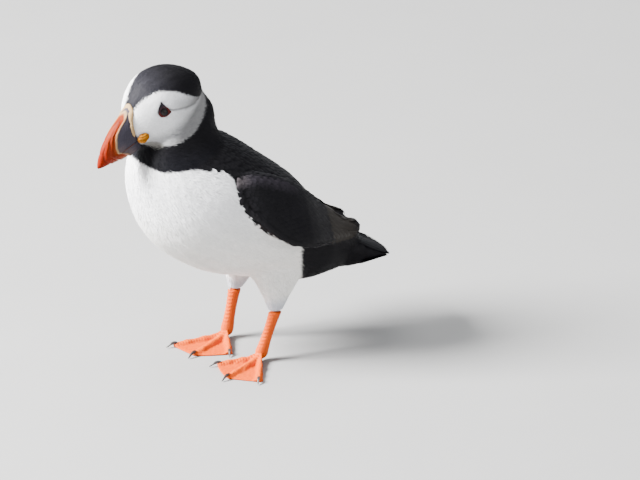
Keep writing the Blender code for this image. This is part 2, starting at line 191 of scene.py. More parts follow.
# The cheek's edge seen from the side, in millimetres ahead of and above the head's middle.
CHEEK = np.array([
    (33.5, 4.0), (30.5, 11.7), (27.2, 15.9), (22.5, 19.2), (17.3, 21.4), (11.6, 22.3), (6.8, 21.2),
    (3.0, 19.0), (-0.4, 16.6), (-3.2, 13.5), (-7.4, 8.1), (-12.3, 2.2), (-17.2, -2.1), (-23.5, -6.0),
    (-21.5, -8.4), (-17.7, -10.2), (-8.1, -11.8), (4.6, -13.4), (15.0, -12.6), (22.6, -11.7),
    (27.5, -12.9), (31.0, -10.0), (34.0, -4.0),
])
# The fold behind the eye.
FURROW = np.array([(9.6, 9.8), (3.9, 6.9), (-3.5, 2.5), (-9.2, 0.3), (-13.6, -1.2)])
# The grey patch below the mouth's corner: its middle, and half its length and height.
PATCH_AHEAD, PATCH_RISE, PATCH_LONG, PATCH_HIGH = 26.6, -11.2, 4.2, 2.1


def polygon_depth(points, corners):
    """Distance inside (positive) or outside (negative) a closed outline in the plane."""
    best = np.full(len(points), 1e9)
    inside = np.zeros(len(points), bool)
    for (ax, ay), (bx, by) in zip(corners, np.roll(corners, -1, axis=0)):
        dx, dy = bx - ax, by - ay
        px, py = points[:, 0] - ax, points[:, 1] - ay
        t = np.clip((px * dx + py * dy) / (dx * dx + dy * dy), 0, 1)
        best = np.minimum(best, np.hypot(px - t * dx, py - t * dy))
        crosses = (ay > points[:, 1]) != (by > points[:, 1])
        at = ax + (points[:, 1] - ay) * dx / (dy if abs(dy) > 1e-9 else 1e-9)
        inside ^= crosses & (points[:, 0] < at)
    return np.where(inside, best, -best)


def furrow_at(f, u):
    """Distance to the fold behind the eye, the share of its length there, and what is above it."""
    points = np.stack((f, u), 1)
    best, along = np.full(len(points), 1e9), np.zeros(len(points))
    count = len(FURROW) - 1
    for k in range(count):
        a, d = FURROW[k], FURROW[k + 1] - FURROW[k]
        t = np.clip(((points - a) @ d) / (d @ d), 0, 1)
        off = np.linalg.norm(points - a - t[:, None] * d, axis=1)
        along = np.where(off < best, (k + t) / count, along)
        best = np.minimum(best, off)
    return best, along, u > np.interp(f, FURROW[::-1, 0], FURROW[::-1, 1])


def face_colour(f, u):
    """The white cheek, with painted shade behind and below it (partly the cheek's real grey, partly the
    shadow of its turned-away side) and grey above the fold's rear, painted shade along its fold, and its
    grey patch.
    """
    # Painted shade, partly the cheek's real grey: darker towards the rear and the bottom of the cheek.
    shade = np.clip(0.75 * smooth(19, -16, f + u * 0.9) + 0.7 * smooth(1, -13, u), 0, 1)
    away, along, above = furrow_at(f, u)
    shade = np.clip(shade * 0.92 + 0.34 * above * smooth(9, 2, f) * smooth(9, 1, away), 0, 1)
    face = mixed(CHEEK_WHITE, CHEEK_GREY_AND_SHADE, shade * 0.89)
    # Painted shade along the fold behind the eye.
    face = mixed(face, FOLD_SHADE, 0.75 * smooth(1.0, 0.2, away) * smooth(1.0, 0.75, along))
    patch = np.hypot((f - PATCH_AHEAD) / PATCH_LONG, (u - PATCH_RISE) / PATCH_HIGH)
    return mixed(face, PATCH_GREY, 0.85 * smooth(1.25, 0.75, patch))


def plumage(p, owner):
    """The bird's colour at points of its surface."""
    x, f, u = head_mm(p)
    bx, by, bz = body_mm(p)
    ragged = rng.normal(0, 0.25, len(p))

    # Underparts.
    collar = np.interp(by, COLLAR_BACK, COLLAR_HEIGHT)
    wing_line = WRIST_HEIGHT - WING_FALL * (by - WRIST_BACK)
    top = np.where(by < WRIST_BACK, collar, wing_line)
    rear = FLANK_BACK - FLANK_TAPER * np.abs(bx)
    white = smooth(-0.5, 0.5, top - bz + ragged) * smooth(-0.6, 0.6, rear - by + ragged)
    white = white * np.isin(owner, ("neck", "trunk", "mantle", *THIGHS))
    # Painted shade: the white underparts turn warmer and darker towards the bottom of the belly.
    colour = mixed(BLACK, mixed(WHITE, LOWER_BELLY_SHADE, smooth(125, 75, bz)), white)

    # The collar's lower part is greyer. The cap's front is painted grey: partly its real brownish tinge,
    # partly a painted sheen.
    colour = mixed(colour, COLLAR_GREY, (owner == "neck") * smooth(160, 146, bz) * (1 - white))
    on_head = (owner == "head") | (owner == "neck")
    colour = mixed(colour, CAP_TINGE_AND_SHEEN, 0.95 * on_head * smooth(-12, 16, f) * smooth(2, 8, u))

    # Cheeks.
    inside = polygon_depth(np.stack((f, u), 1), CHEEK)
    cheek = smooth(-0.35, 0.35, inside + ragged) * smooth(3.6, 4.8, np.abs(x)) * on_head
    colour = mixed(colour, face_colour(f, u), cheek)

    # The flight feathers' tips are browner, and a strip below the wing's upper edge near the wrist is a
    # painted sheen, with a painted highlight at its front.
    brown = np.isin(owner, PRIMARIES) * smooth(42, 47, by) * smooth(74, 66, by)
    colour = mixed(colour, PRIMARY_BROWN, brown)
    for side in SIDES:
        wrist, _, along, _, up = WING[side]
        s, v = (p - wrist) @ along / MM, (p - wrist) @ up / MM
        below_edge = np.interp(s, EDGE_STATIONS, WING_EDGE[side]) - v + ragged
        strip = smooth(3.2, 5.2, below_edge + ragged) * smooth(13, 6.5, below_edge + 2 * ragged)
        # Painted sheen along the strip, and a painted highlight near the wrist.
        pale = (owner == "wing_" + side) * strip * smooth(46, 26, s)
        colour = mixed(colour, WRIST_SHEEN, pale)
        colour = mixed(colour, WRIST_HIGHLIGHT, 0.6 * pale * smooth(4, -5, s))

    # Feathered shins are bluish white, and bare skin is orange.
    colour = mixed(colour, SHIN_WHITE, np.isin(owner, THIGHS) * smooth(46, 36, bz))
    return mixed(colour, LEG_ORANGE, np.isin(owner, LEGS).astype(float))


# ---- meshes


def new_object(name, vertices, faces, colours=None, uvs=None, normals=None, parts=None):
    """A mesh object from arrays: all its faces have as many corners as `faces` has columns."""
    mesh = bpy.data.meshes.new(name)
    faces = np.asarray(faces, np.int32)
    size = faces.shape[1]
    mesh.vertices.add(len(vertices))
    mesh.vertices.foreach_set("co", np.asarray(vertices, np.float32).ravel())
    mesh.loops.add(faces.size)
    mesh.loops.foreach_set("vertex_index", faces.ravel())
    mesh.polygons.add(len(faces))
    mesh.polygons.foreach_set("loop_start", np.arange(0, faces.size, size, dtype=np.int32))
    if parts is not None:
        mesh.polygons.foreach_set("material_index", np.asarray(parts, np.int32))
    mesh.update(calc_edges=True)
    mesh.shade_smooth()
    if uvs is not None:
        layer = mesh.uv_layers.new(name="OFBake")
        layer.data.foreach_set("uv", np.asarray(uvs, np.float32)[faces.ravel()].ravel())
    if colours is not None:
        rgba = np.ones((len(vertices), 4), np.float32)
        rgba[:, :3] = colours
        tint = mesh.color_attributes.new(name="tint", type="FLOAT_COLOR", domain="POINT")
        tint.data.foreach_set("color", rgba.ravel())
    if normals is not None:
        mesh.normals_split_custom_set(np.asarray(normals, np.float32).reshape(-1, 3))
    obj = bpy.data.objects.new(name, mesh)
    bpy.context.scene.collection.objects.link(obj)
    return obj


def cast_of(nodes, voxel, grow):
    """One smooth closed surface round CAD nodes, as points and quads."""
    bm = bmesh.new()
    for node in nodes:
        bm.from_mesh(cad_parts[node].data)
    bmesh.ops.remove_doubles(bm, verts=bm.verts, dist=2e-6)
    bmesh.ops.recalc_face_normals(bm, faces=bm.faces)
    bm.normal_update()
    for vertex, normal in [(v, v.normal.copy()) for v in bm.verts]:
        vertex.co += normal * grow
    mesh = bpy.data.meshes.new("cast")
    bm.to_mesh(mesh)
    bm.free()
    obj = bpy.data.objects.new("cast", mesh)
    bpy.context.scene.collection.objects.link(obj)
    remesh = obj.modifiers.new("remesh", "REMESH")
    remesh.mode = "VOXEL"
    remesh.voxel_size = voxel
    graph = bpy.context.evaluated_depsgraph_get()
    made = bpy.data.meshes.new_from_object(obj.evaluated_get(graph))
    points = np.empty(len(made.vertices) * 3, np.float32)
    made.vertices.foreach_get("co", points)
    corners = np.empty(len(made.loops), np.int32)
    made.loops.foreach_get("vertex_index", corners)
    bpy.data.objects.remove(obj)
    bpy.data.meshes.remove(mesh)
    bpy.data.meshes.remove(made)
    return points.reshape(-1, 3).astype(float), corners.reshape(-1, 4)


def ring_quads(rows, columns):
    """Quads between rows + 1 closed rings of points, one ring after the other."""
    here = np.arange(rows)[:, None] * columns + np.arange(columns)
    beside = np.roll(here, -1, axis=1)
    return np.stack((here, here + columns, beside + columns, beside), 2).reshape(-1, 4)


def ball(rows, columns):
    """A ball's points, ring by ring from its pole: angles from the pole and round it, and quads."""
    polar = np.repeat(math.pi * np.arange(rows + 1) / rows, columns)
    turn = np.tile(2 * math.pi * np.arange(columns) / columns, rows + 1)
    return polar, turn, ring_quads(rows, columns)


def face_normals(points, quads):
    a, b, c, d = (points[quads[:, k]] for k in range(4))
    return np.cross(c - a, d - b)


def vertex_normals(points, quads):
    across = face_normals(points, quads)
    total = np.zeros_like(points)
    for k in range(4):
        for axis in range(3):
            total[:, axis] += np.bincount(quads[:, k], across[:, axis], len(points))
    return unit(total)


def relaxed(values, quads, times):
    """Values at the points of a surface, evened out with their neighbours'."""
    shape = np.shape(values)
    values = np.array(values, float).reshape(len(values), -1)
    size = len(values)
    a, b = quads.ravel(), np.roll(quads, -1, axis=1).ravel()
    count = np.maximum(np.bincount(a, minlength=size) + np.bincount(b, minlength=size), 1)
    for _ in range(times):
        near = [np.bincount(a, v[b], size) + np.bincount(b, v[a], size) for v in values.T]
        values += 0.5 * (np.stack(near, 1) / count[:, None] - values)
    return values.reshape(shape)


class Surface:
    """A mesh that points can be laid on."""

    def __init__(self, points, quads):
        self.points, self.quads = points, quads
        self.normals = vertex_normals(points, quads)
        self.tree = BVHTree.FromPolygons(points.tolist(), quads.tolist())

    def nearest(self, points):
        """Where the surface is nearest to points: places, smooth normals and faces."""
        places = np.empty((len(points), 3))
        faces = np.empty(len(points), np.int64)
        for i, point in enumerate(points.tolist()):
            place, _, face, _ = self.tree.find_nearest(point)
            places[i] = place
            faces[i] = face
        corners = self.quads[faces]
        away = np.linalg.norm(self.points[corners] - places[:, None], axis=2)
        weight = 1 / (away**2 + (0.3 * MM) ** 2)
        normals = unit((self.normals[corners] * weight[:, :, None]).sum(1))
        return places, normals, faces


def cad_tree(nodes):
    """The CAD solids' surfaces, and whose each of their faces is."""
    points, faces, owners = [], [], []
    for node in nodes:
        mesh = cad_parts[node].data
        base = len(points)
        points += [v.co.copy() for v in mesh.vertices]
        faces += [[base + k for k in f.vertices] for f in mesh.polygons]
        owners += [node] * len(mesh.polygons)
    return BVHTree.FromPolygons(points, faces), np.array(owners)


# ---- the skin

flesh_tree, flesh_owners = cad_tree(FEATHERED)

# How deep the coat is over the skin, in millimetres.
COAT_DEPTH = {
    "head": 0.7, "neck": 1.2, "trunk": 1.5, "mantle": 1.4, "tail": 1.0, "thigh_left": 1.0,
    "thigh_right": 1.0, "wing_left": 1.1, "wing_right": 1.1, "primaries_left": 0.8,
    "primaries_right": 0.8,
}
BODY_VOXEL, LEG_VOXEL = 1.3 * MM, 0.45 * MM
BODY_GROW, LEG_GROW = 0.3, 0.1  # how far the casts are swollen before they are evened out (mm)


def body_skin():
    """The feathered body's skin, inside the solids by the coat's depth, with the cheeks' folds."""
    points, quads = cast_of(FEATHERED, BODY_VOXEL, BODY_GROW * MM)
    points = relaxed(points, quads, 5)
    owner = flesh_owners[[flesh_tree.find_nearest(p)[2] for p in points.tolist()]]
    depth = relaxed([COAT_DEPTH[o] for o in owner], quads, 12)
    normals = vertex_normals(points, quads)
    _, f, u = head_mm(points)
    away, along, above = furrow_at(f, u)
    folded = (owner == "head") * smooth(1.0, 0.8, along)
    fold = band(away, 0.9) * folded
    lip = band(away - 1.8, 1.3) * ~above * folded
    points = points - normals * ((depth + BODY_GROW + 0.9 * fold - 0.35 * lip) * MM)[:, None]
    return points, quads, owner, depth


skin_points, skin_quads, skin_owner, skin_depth = body_skin()
skin = Surface(skin_points, skin_quads)


SCUTE, TOE_SCUTE = 2.4, 1.9  # how long the scutes of a leg and a toe are (mm)
TOE_JOINTS = (0.42, 0.72)  # where a toe's joints are, as shares of its length


def toe_relief(flat, line):
    """Scutes and joints over a toe, at places round its root in the plane, in millimetres."""
    length = np.linalg.norm(line)
    line = line / length
    along = flat @ line
    off = np.abs(flat[:, 0] * line[1] - flat[:, 1] * line[0])
    on_toe = smooth(3.2, 1.6, off) * smooth(2, 6, along) * smooth(length, length - 3, along)
    scutes = np.sin(along * 2 * math.pi / TOE_SCUTE)
    joints = sum(band(along - share * length, 2.2) for share in TOE_JOINTS)
    return on_toe * scutes, on_toe * joints


def leg_skin():
    """The bare tarsi and webbed feet, with scutes down the front and over the toes."""
    points, quads = cast_of(LEGS, LEG_VOXEL, LEG_GROW * MM)
    points = relaxed(points, quads, 3)
    normals = vertex_normals(points, quads)
    shift = np.zeros(len(points))
    for side in SIDES:
        low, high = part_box("tarsus_" + side)
        shank = node_points("tarsus_" + side)
        knuckle = shank[shank[:, 2] < low.z + 2 * MM].mean(0)
        on_shank = np.abs(points[:, 0] - (low.x + high.x) / 2) < 12 * MM
        rings = np.sin(points[:, 2] / MM * 2 * math.pi / SCUTE)
        facing = smooth(0.1, 0.6, -normals[:, 1])
        shift += smooth(9, 13, points[:, 2] / MM) * on_shank * (0.16 * rings * facing - 0.05)
        flat = (points[:, :2] - knuckle[:2]) / MM
        for toe in ("inner", "middle", "outer"):
            end = middle(f"claw_{side}_{toe}")
            scutes, joints = toe_relief(flat, (end[:2] - knuckle[:2]) / MM)
            shift += smooth(0.2, 0.7, normals[:, 2]) * 0.15 * scutes
            shift += smooth(0.0, 0.5, normals[:, 2]) * 0.45 * joints
        angle, reach = np.arctan2(flat[:, 0], -flat[:, 1]), np.linalg.norm(flat, axis=1)
        web = smooth(8, 14, reach) * smooth(0.75, 0.95, normals[:, 2]) * (reach < 60)
        creases = np.sin(angle * 62 + 1.5 * np.sin(reach * 0.45)) * np.sin(reach * 0.9 + angle * 9)
        shift += web * 0.09 * creases
    shift = np.where(normals[:, 2] < -0.7, 0, shift)
    points = points + normals * ((shift - LEG_GROW) * MM)[:, None]
    points[:, 2] = np.maximum(points[:, 2], 0)
    return points, quads


ROSETTE_YELLOW = np.array((0.29, 0.106, 0.0005))
ROSETTE_FOLD_SHADE = np.array((0.16, 0.036, 0.001))
ROSETTE_SIZE = 0.54  # half its height, as a share of its solid's breadth
ROSETTE_LONG, ROSETTE_HIGH, ROSETTE_THICK = 1.22, 0.95, 0.66


def rosette(side):
    """The wrinkled yellow flap of bare skin at a corner of the mouth."""
    centre = middle("gape_" + side) + (AHEAD * 0.6 - RISE * 0.3) * MM
    facing = unit(OUT * SIDES[side] + AHEAD * 0.25)
    up = unit(RISE - facing * (RISE @ facing))
    front = np.cross(up, facing) * SIDES[side]
    polar, turn, quads = ball(40, 64)
    a, b, outward = np.sin(polar) * np.cos(turn), np.sin(polar) * np.sin(turn), np.cos(polar)
    off = np.abs(b + 0.15 * a)
    folds = np.cos(off * 15) * np.sin(polar) ** 0.5
    lobes = 0.05 * np.sin(turn * 3 + 1) * np.sin(polar) + 0.03 * np.sin(turn * 5 + polar * 3)
    size = 1 + 0.07 * folds + lobes
    slit = 0.24 * band(off, 0.09) * (outward > 0)
    reach = (ROSETTE_LONG * size * a, ROSETTE_HIGH * size * b, ROSETTE_THICK * size * outward - slit)
    offset = np.stack(reach, 1) @ np.stack((front, up, facing))
    # Painted shade in the rosette's sunken folds and in its slit.
    dark = 0.35 * np.maximum(0, 0.5 - 0.5 * folds) + slit
    colours = mixed(ROSETTE_YELLOW, ROSETTE_FOLD_SHADE, dark)
    return centre + ROSETTE_SIZE * breadth("gape_" + side) * offset, quads, colours


# The bare skin round the eye: its outline on the side of the head, in millimetres ahead of and
# above the head's middle. The eye shows through a round hole in it.
EYE_OPENING = np.array([
    (11.4, 17.8), (12.9, 16.6), (15.2, 15.0), (16.9, 12.8), (17.3, 10.2), (16.4, 8.3), (13.6, 8.0),
    (11.0, 8.2), (9.3, 9.0), (9.9, 11.2), (10.6, 14.4),
])
EYE_HOLE = math.radians(41)
RING_RED = np.array((0.050, 0.006, 0.005))
PLATE_SLATE = np.array((0.016, 0.013, 0.017))


def closed_curve(corners, count):
    """A smooth closed curve through corners."""
    size = len(corners)
    at = np.arange(count) * size / count
    i = at.astype(int)
    t = (at - i)[:, None]
    a, b, c, d = (corners[(i + shift) % size] for shift in (-1, 0, 1, 2))
    bend = (2 * a - 5 * b + 4 * c - d) * t**2 + (3 * b - a - 3 * c + d) * t**3
    return 0.5 * (2 * b + (c - a) * t + bend)


def head_surface(side, ahead, up):
    """The solid head's surface at a place of its side view."""
    outer = from_head(SIDES[side] * 40, ahead, up)
    hit = flesh_tree.ray_cast(Vector(outer), Vector(-OUT * SIDES[side]))
    return np.array(hit[0])


def lids(side):
    """The bare skin round an eye: a beaded red ring, and slate plates above and below it."""
    eye = eye_at[side]
    axis = unit(OUT * SIDES[side] * 0.80 + AHEAD * 0.30 + RISE * 0.50)
    across = unit(AHEAD - axis * (AHEAD @ axis))
    over = unit(RISE - axis * (RISE @ axis) - across * (RISE @ across))
    count, rings = 96, 16
    outer = np.array([head_surface(side, *at) for at in closed_curve(EYE_OPENING, count)])
    outer = outer - unit(outer - eye) * 0.35 * MM
    turn = np.arctan2((outer - eye) @ over, (outer - eye) @ across)
    rays = np.stack((np.cos(turn), np.sin(turn)), 1) @ np.stack((across, over))
    inner = eye + EYE_RADIUS * (axis * math.cos(EYE_HOLE) + rays * math.sin(EYE_HOLE))

    share = np.repeat(np.arange(rings + 1) / rings, count)
    turn = np.tile(turn, rings + 1)
    outer, inner = (np.tile(places, (rings + 1, 1)) for places in (outer, inner))
    span = np.linalg.norm(outer - inner, axis=1) / MM
    away = share * span
    off = inner + (outer - inner) * share[:, None] - eye
    reach = np.maximum(np.linalg.norm(off, axis=1), EYE_RADIUS * 1.01)
    bead, ring = 1 + 0.16 * np.cos(turn * 26), band(away - 0.6, 0.42)
    plate = smooth(1.1, 1.7, away) * smooth(0.0, 0.7, span - away)
    rise = 0.42 * ring * bead + 0.34 * plate * (0.6 + 0.4 * np.abs(np.sin(turn)))
    points = eye + unit(off) * (reach + rise * MM)[:, None]

    grain = 1 + 0.2 * np.sin(turn * 9 + away * 5) * np.sin(away * 6)
    red = smooth(1.35, 0.95, away) * (0.25 + 0.75 * smooth(0.75, 0.1, np.sin(turn)))
    behind = smooth(0.2, -0.75, np.cos(turn)) * smooth(0.4, -0.1, np.sin(turn))
    plates = mixed(PLATE_SLATE * grain[:, None], RING_RED * 0.9, behind)
    colours = mixed(plates, RING_RED * (0.8 + 0.3 * bead * ring)[:, None], red)
    quads = ring_quads(rings, count)
    if face_normals(points, quads).sum(0) @ axis < 0:
        quads = quads[:, ::-1]
    return points, quads, colours


def whole_skin():
    """The one skin: feathered body, bare legs, mouth corners and eye rings."""
    legs, leg_quads = leg_skin()
    height = legs[:, 2] / MM
    leg_colour = mixed(LEG_ORANGE, LEG_RED, 0.5 * smooth(3, 0.5, height) + 0.25 * smooth(8, 22, height))
    # The feathered skin is painted 8 % darker than the plumage over it: painted shade under the coat.
    batches = [(skin_points, skin_quads, plumage(skin_points, skin_owner) * 0.92, 0)]
    batches.append((legs, leg_quads, leg_colour, 1))
    for side in SIDES:
        batches.append((*rosette(side), 2))
        batches.append((*lids(side), 3))
    points, quads, colours, parts, base = [], [], [], [], 0
    for batch_points, batch_quads, batch_colours, part in batches:
        points.append(batch_points)
        quads.append(batch_quads + base)
        colours.append(batch_colours)
        parts.append(np.full(len(batch_quads), part))
        base += len(batch_points)
    return new_object("skin", np.concatenate(points), np.concatenate(quads), np.concatenate(colours),
                      parts=np.concatenate(parts))


# ---- bill

# Lines that cross the bill from its ridge to its lower edge: how far ahead each is (mm) at
# heights above the head's middle.
HEIGHTS = (-16.0, -12.0, -7.0, -2.5, 1.5, 6.5, 9.0, 11.2, 13.7, 16.4, 18.8)
CERE_LINE = (33.0, 34.5, 35.2, 35.0, 34.4, 33.4, 32.6, 31.7, 30.0, 27.4, 25.2)
PLATE_LINE = (38.0, 40.5, 43.0, 48.4, 48.2, 45.7, 43.4, 39.6, 34.0, 30.4, 28.5)
GROOVE_LINE = (45.0, 47.5, 51.0, 53.4, 52.6, 49.8, 47.4, 42.8, 38.0, 33.0, 30.0)
OUTER_GROOVE = (50.0, 53.0, 56.0, 58.0, 56.6, 52.4, 49.0, 44.6, 40.0, 35.0, 32.0)
BILL_VOXEL, BILL_GROW = 0.36 * MM, 0.12 * MM
BILL_RED = np.array((0.155, 0.0080, 0.0004))
BILL_ORANGE = np.array((0.17, 0.023, 0.0009))
SLATE = np.array((0.034, 0.0305, 0.041))
ROSY_SLATE = np.array((0.085, 0.058, 0.055))
CREAM = np.array((0.31, 0.205, 0.100))
PALE_RED = np.array((0.18, 0.034, 0.017))
CUTTING_EDGE = np.array((0.16, 0.060, 0.035))


def line_at(line, up):
    return np.interp(up, HEIGHTS, line)


def horn(node, lower):
    """One half of the bill, with its plates, pale bands and grooves."""
    points, quads = cast_of([node], BILL_VOXEL, BILL_GROW)
    points = relaxed(points, quads, 4)
    normals = vertex_normals(points, quads)
    _, f, u = head_mm(points)
    plate, groove, outer = (f - line_at(line, u) for line in (PLATE_LINE, GROOVE_LINE, OUTER_GROOVE))
    side_face = smooth(0.15, 0.6, np.abs(normals @ OUT))
    rise = 0.42 * band(plate, 0.8) - 0.35 * band(plate - 1.7, 0.7)
    rise -= 0.42 * band(groove, 0.7) - 0.22 * band(groove + 1.5, 0.8)
    rise -= 0.34 * band(outer, 0.7) - 0.18 * band(outer + 1.5, 0.8)
    rise -= 0.16 * smooth(0, -3, plate) * side_face
    fine = 0.035 * np.sin(plate * 5.1) + 0.03 * np.sin(u * 3.1 + f * 1.7) * np.sin(f * 2.3 - u)
    points = points + normals * ((rise * side_face + fine) * MM)[:, None]

    red = mixed(BILL_ORANGE, BILL_RED, smooth(0, 9, plate))
    red = mixed(red, PALE_RED, 0.5 * band(groove, 0.6) + 0.35 * band(outer, 0.55))
    red = mixed(red, BILL_RED * 0.5, 0.6 * band(groove + 1.3, 1.1))
    if lower:
        red = mixed(red, PALE_RED, np.full(len(points), 0.35))
        red = mixed(red, CREAM, 0.6 * smooth(0.2, 0.9, -(normals @ RISE)))
    slate = mixed(SLATE, SLATE * 1.5, smooth(-8, 0, plate) * 0.6)
    slate = mixed(slate, ROSY_SLATE, 0.6 * smooth(2.5, -1.5, u) * smooth(-9, -1, plate))
    colour = mixed(slate, red, smooth(-0.25, 0.25, plate))
    colour = mixed(colour, CREAM, band(plate, 0.62) * (0.35 if lower else 0.9))
    cutting = smooth(0.35, 0.85, (normals @ RISE) * (1 if lower else -1)) * (f > 36)
    return points, quads, mixed(colour, CUTTING_EDGE, cutting * 0.4)


CERE_SPAN = math.radians(104)  # how far down each side of the bill the rim reaches
CERE_HALF, CERE_HEIGHT = 1.15, 0.75  # half its width, and its height (mm)


def cere_line(angles):
    """The bill's root: places round it at angles from its ridge, and the ways out of it."""
    tree, _ = cad_tree(("head", "bill_upper", "bill_lower"))
    centres, outs = [], []
    for a in angles:
        ahead = 31.0
        for _ in range(6):
            ray = OUT * math.sin(a) + RISE * math.cos(a)
            hit = tree.ray_cast(Vector(from_head(0, ahead, 3.0) + ray * 0.05), Vector(-ray))
            up = head_mm(np.array(hit[0]))[2]
            ahead = 0.5 * ahead + 0.5 * float(line_at(CERE_LINE, up))
        centres.append(np.array(hit[0]))
        outs.append(np.array(hit[1]))
    centres, outs = np.array(centres), np.array(outs)
    for values, times in ((centres, 4), (outs, 12)):
        for _ in range(times):
            values[1:-1] = (values[:-2] + 2 * values[1:-1] + values[2:]) / 4
    return centres, unit(outs)


def cere():
    """The raised, pimpled rim round the bill's root."""
    count, rounds = 150, 10
    angles = np.linspace(-CERE_SPAN, CERE_SPAN, count)
    centres, outs = cere_line(angles)
    across = unit(np.cross(unit(np.gradient(centres, axis=0)), outs))
    k, j = np.arange(count)[:, None], np.arange(rounds)
    a = 2 * math.pi * j / rounds
    end = np.sin(math.pi / 2 * np.minimum(1, 0.06 + np.minimum(k, count - 1 - k) / 14))
    pimple = 1 + 0.13 * np.sin(k * 1.9 + j) * np.sin(k * 0.7 - 2 * j)
    wide = CERE_HALF * end * (1 + 0.8 * band(angles, 0.42))[:, None] * np.cos(a)
    high = CERE_HEIGHT * end * pimple * np.sin(a) - 0.1
    points = centres[:, None] + (across[:, None] * wide[:, :, None] + outs[:, None] * high[:, :, None]) * MM
    colours = CREAM * (0.88 + 0.16 * pimple * np.maximum(0, np.sin(a)))[:, :, None]
    quads = np.roll(ring_quads(count - 1, rounds)[:, ::-1], 1, axis=1)
    return points.reshape(-1, 3), quads, colours.reshape(-1, 3)


# ---- where feathers grow and lie

BODY_AXIS = unit((0, 0.80, -0.60))
THIGH_AXIS = unit((0, 0.25, -1))
TAIL_AXIS = unit((0, 0.95, -0.3))
MUZZLE = from_head(0, 44, -2)
PATCH = 0.003  # how wide a tuft's patch of the OFBake map is


def unwrap(points, quads):
    """The skin's own unwrap: a place in the map for each corner of each face."""
    obj = new_object("unwrap", points, quads)
    bpy.context.view_layer.objects.active = obj
    obj.select_set(True)
    bpy.ops.object.mode_set(mode="EDIT")
    bpy.ops.mesh.select_all(action="SELECT")
    bpy.ops.uv.smart_project(angle_limit=math.radians(66), island_margin=0.004)
    bpy.ops.object.mode_set(mode="OBJECT")
    uv = np.empty(len(obj.data.loops) * 2, np.float32)
    obj.data.uv_layers.active.data.foreach_get("uv", uv)
    mesh = obj.data
    bpy.data.objects.remove(obj)
    bpy.data.meshes.remove(mesh)
    return uv.reshape(len(quads), 4, 2)


skin_uv = unwrap(skin_points, skin_quads)


def in_eye(points):
    """How deep points are inside the bare skin round an eye, in millimetres."""
    x, f, u = head_mm(points)
    inside = polygon_depth(np.stack((f, u), 1), EYE_OPENING)
    return np.where((np.abs(x) > 8) & (np.linalg.norm(points - HEAD, axis=1) < 30 * MM), inside, -9.0)


def feathered_face(points):
    """True where the head has feathers: behind the bill's root and off the eyes."""
    _, f, u = head_mm(points)
    ahead = (f > line_at(CERE_LINE, u) - 0.8) & (u > -15)
    gape = np.minimum(*(np.linalg.norm(points - middle("gape_" + side), axis=1) for side in SIDES))
    return ~ahead & (gape > 3.2 * MM) & (in_eye(points) < 0.2)


def white_part(points):
    """True in the white underparts."""
    return plumage(points, np.full(len(points), "mantle"))[:, 0] > 0.2


def before_rim(points):
    """True on the tail up to its thin rim."""
    return points[:, 1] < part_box("tail")[1].y - 9 * MM


def part_of_skin(keep, *nodes):
    """The skin's faces that belong to some CAD nodes and whose middles pass a test."""
    faces = np.flatnonzero(np.isin(skin_owner[skin_quads[:, 0]], nodes))
    if keep is not None:
        faces = faces[keep(skin_points[skin_quads[faces]].mean(1))]
    return faces


TRIES = 3.2  # how many random roots are tried for each that would fit
ROOM = 0.86  # the least distance between roots, as a share of their spacing


def scattered(faces, spacing):
    """Roots spread evenly over some of the skin's faces, `spacing` metres apart: their places,
    faces, and the weights of the faces' corners there."""
    corners = skin_points[skin_quads[faces]]
    area = np.linalg.norm(face_normals(skin_points, skin_quads[faces]), axis=1) / 2
    share = area / (spacing * spacing)
    count = int(share.sum() * TRIES * THIN)
    picked = rng.choice(len(faces), count, p=share / share.sum())
    s, t = rng.random(count), rng.random(count)
    weights = np.stack(((1 - s) * (1 - t), s * (1 - t), s * t, (1 - s) * t), 1)
    roots = (corners[picked] * weights[:, :, None]).sum(1)
    tree = KDTree(count)
    for i, root in enumerate(roots.tolist()):
        tree.insert(root, i)
    tree.balance()
    gone = np.zeros(count, bool)
    kept = []
    for i, root in enumerate(roots.tolist()):
        if gone[i]:
            continue
        kept.append(i)
        for _, j, _ in tree.find_range(root, spacing * ROOM / math.sqrt(THIN)):
            gone[j] = True
    return roots[kept], faces[picked[kept]], weights[kept]


def lie(points, normals, owner):
    """Which way the feathers lie."""
    _, f, u = head_mm(points)
    on_head = smooth(-20, -3, f) * smooth(-26, -13, u)
    flow = unit(points - MUZZLE) * on_head[:, None] + BODY_AXIS * (1 - on_head)[:, None]
    flow[np.isin(owner, THIGHS)] = THIGH_AXIS
    flow[owner == "tail"] = TAIL_AXIS
    for side in SIDES:
        flow[np.isin(owner, ("wing_" + side, "primaries_" + side))] = WING[side][2]
    flow = flow + rng.normal(0, 0.05, flow.shape)
    return unit(flow - normals * (flow * normals).sum(1, keepdims=True))


def rooted(faces, spacing):
    """Feathers' roots over some of the skin's faces, `spacing` millimetres apart: places, faces,
    weights, ways up, owners, headings and the coat's depth there in metres."""
    roots, faces, weights = scattered(faces, spacing * MM)
    corners = skin_quads[faces]
    owner = skin_owner[corners[:, 0]]
    normal = unit((skin.normals[corners] * weights[:, :, None]).sum(1))
    heading = lie(roots, normal, owner)
    depth = (skin_depth[corners] * weights).sum(1) * MM
    return roots, faces, weights, normal, owner, heading, depth


SHARP = 0.6  # the cosine of the bend at which the skin has a sharp edge
LEAST_STRAIGHT, LEAST_LEVEL = 0.82, 0.78  # cosines: the most that a kept path bends and rolls


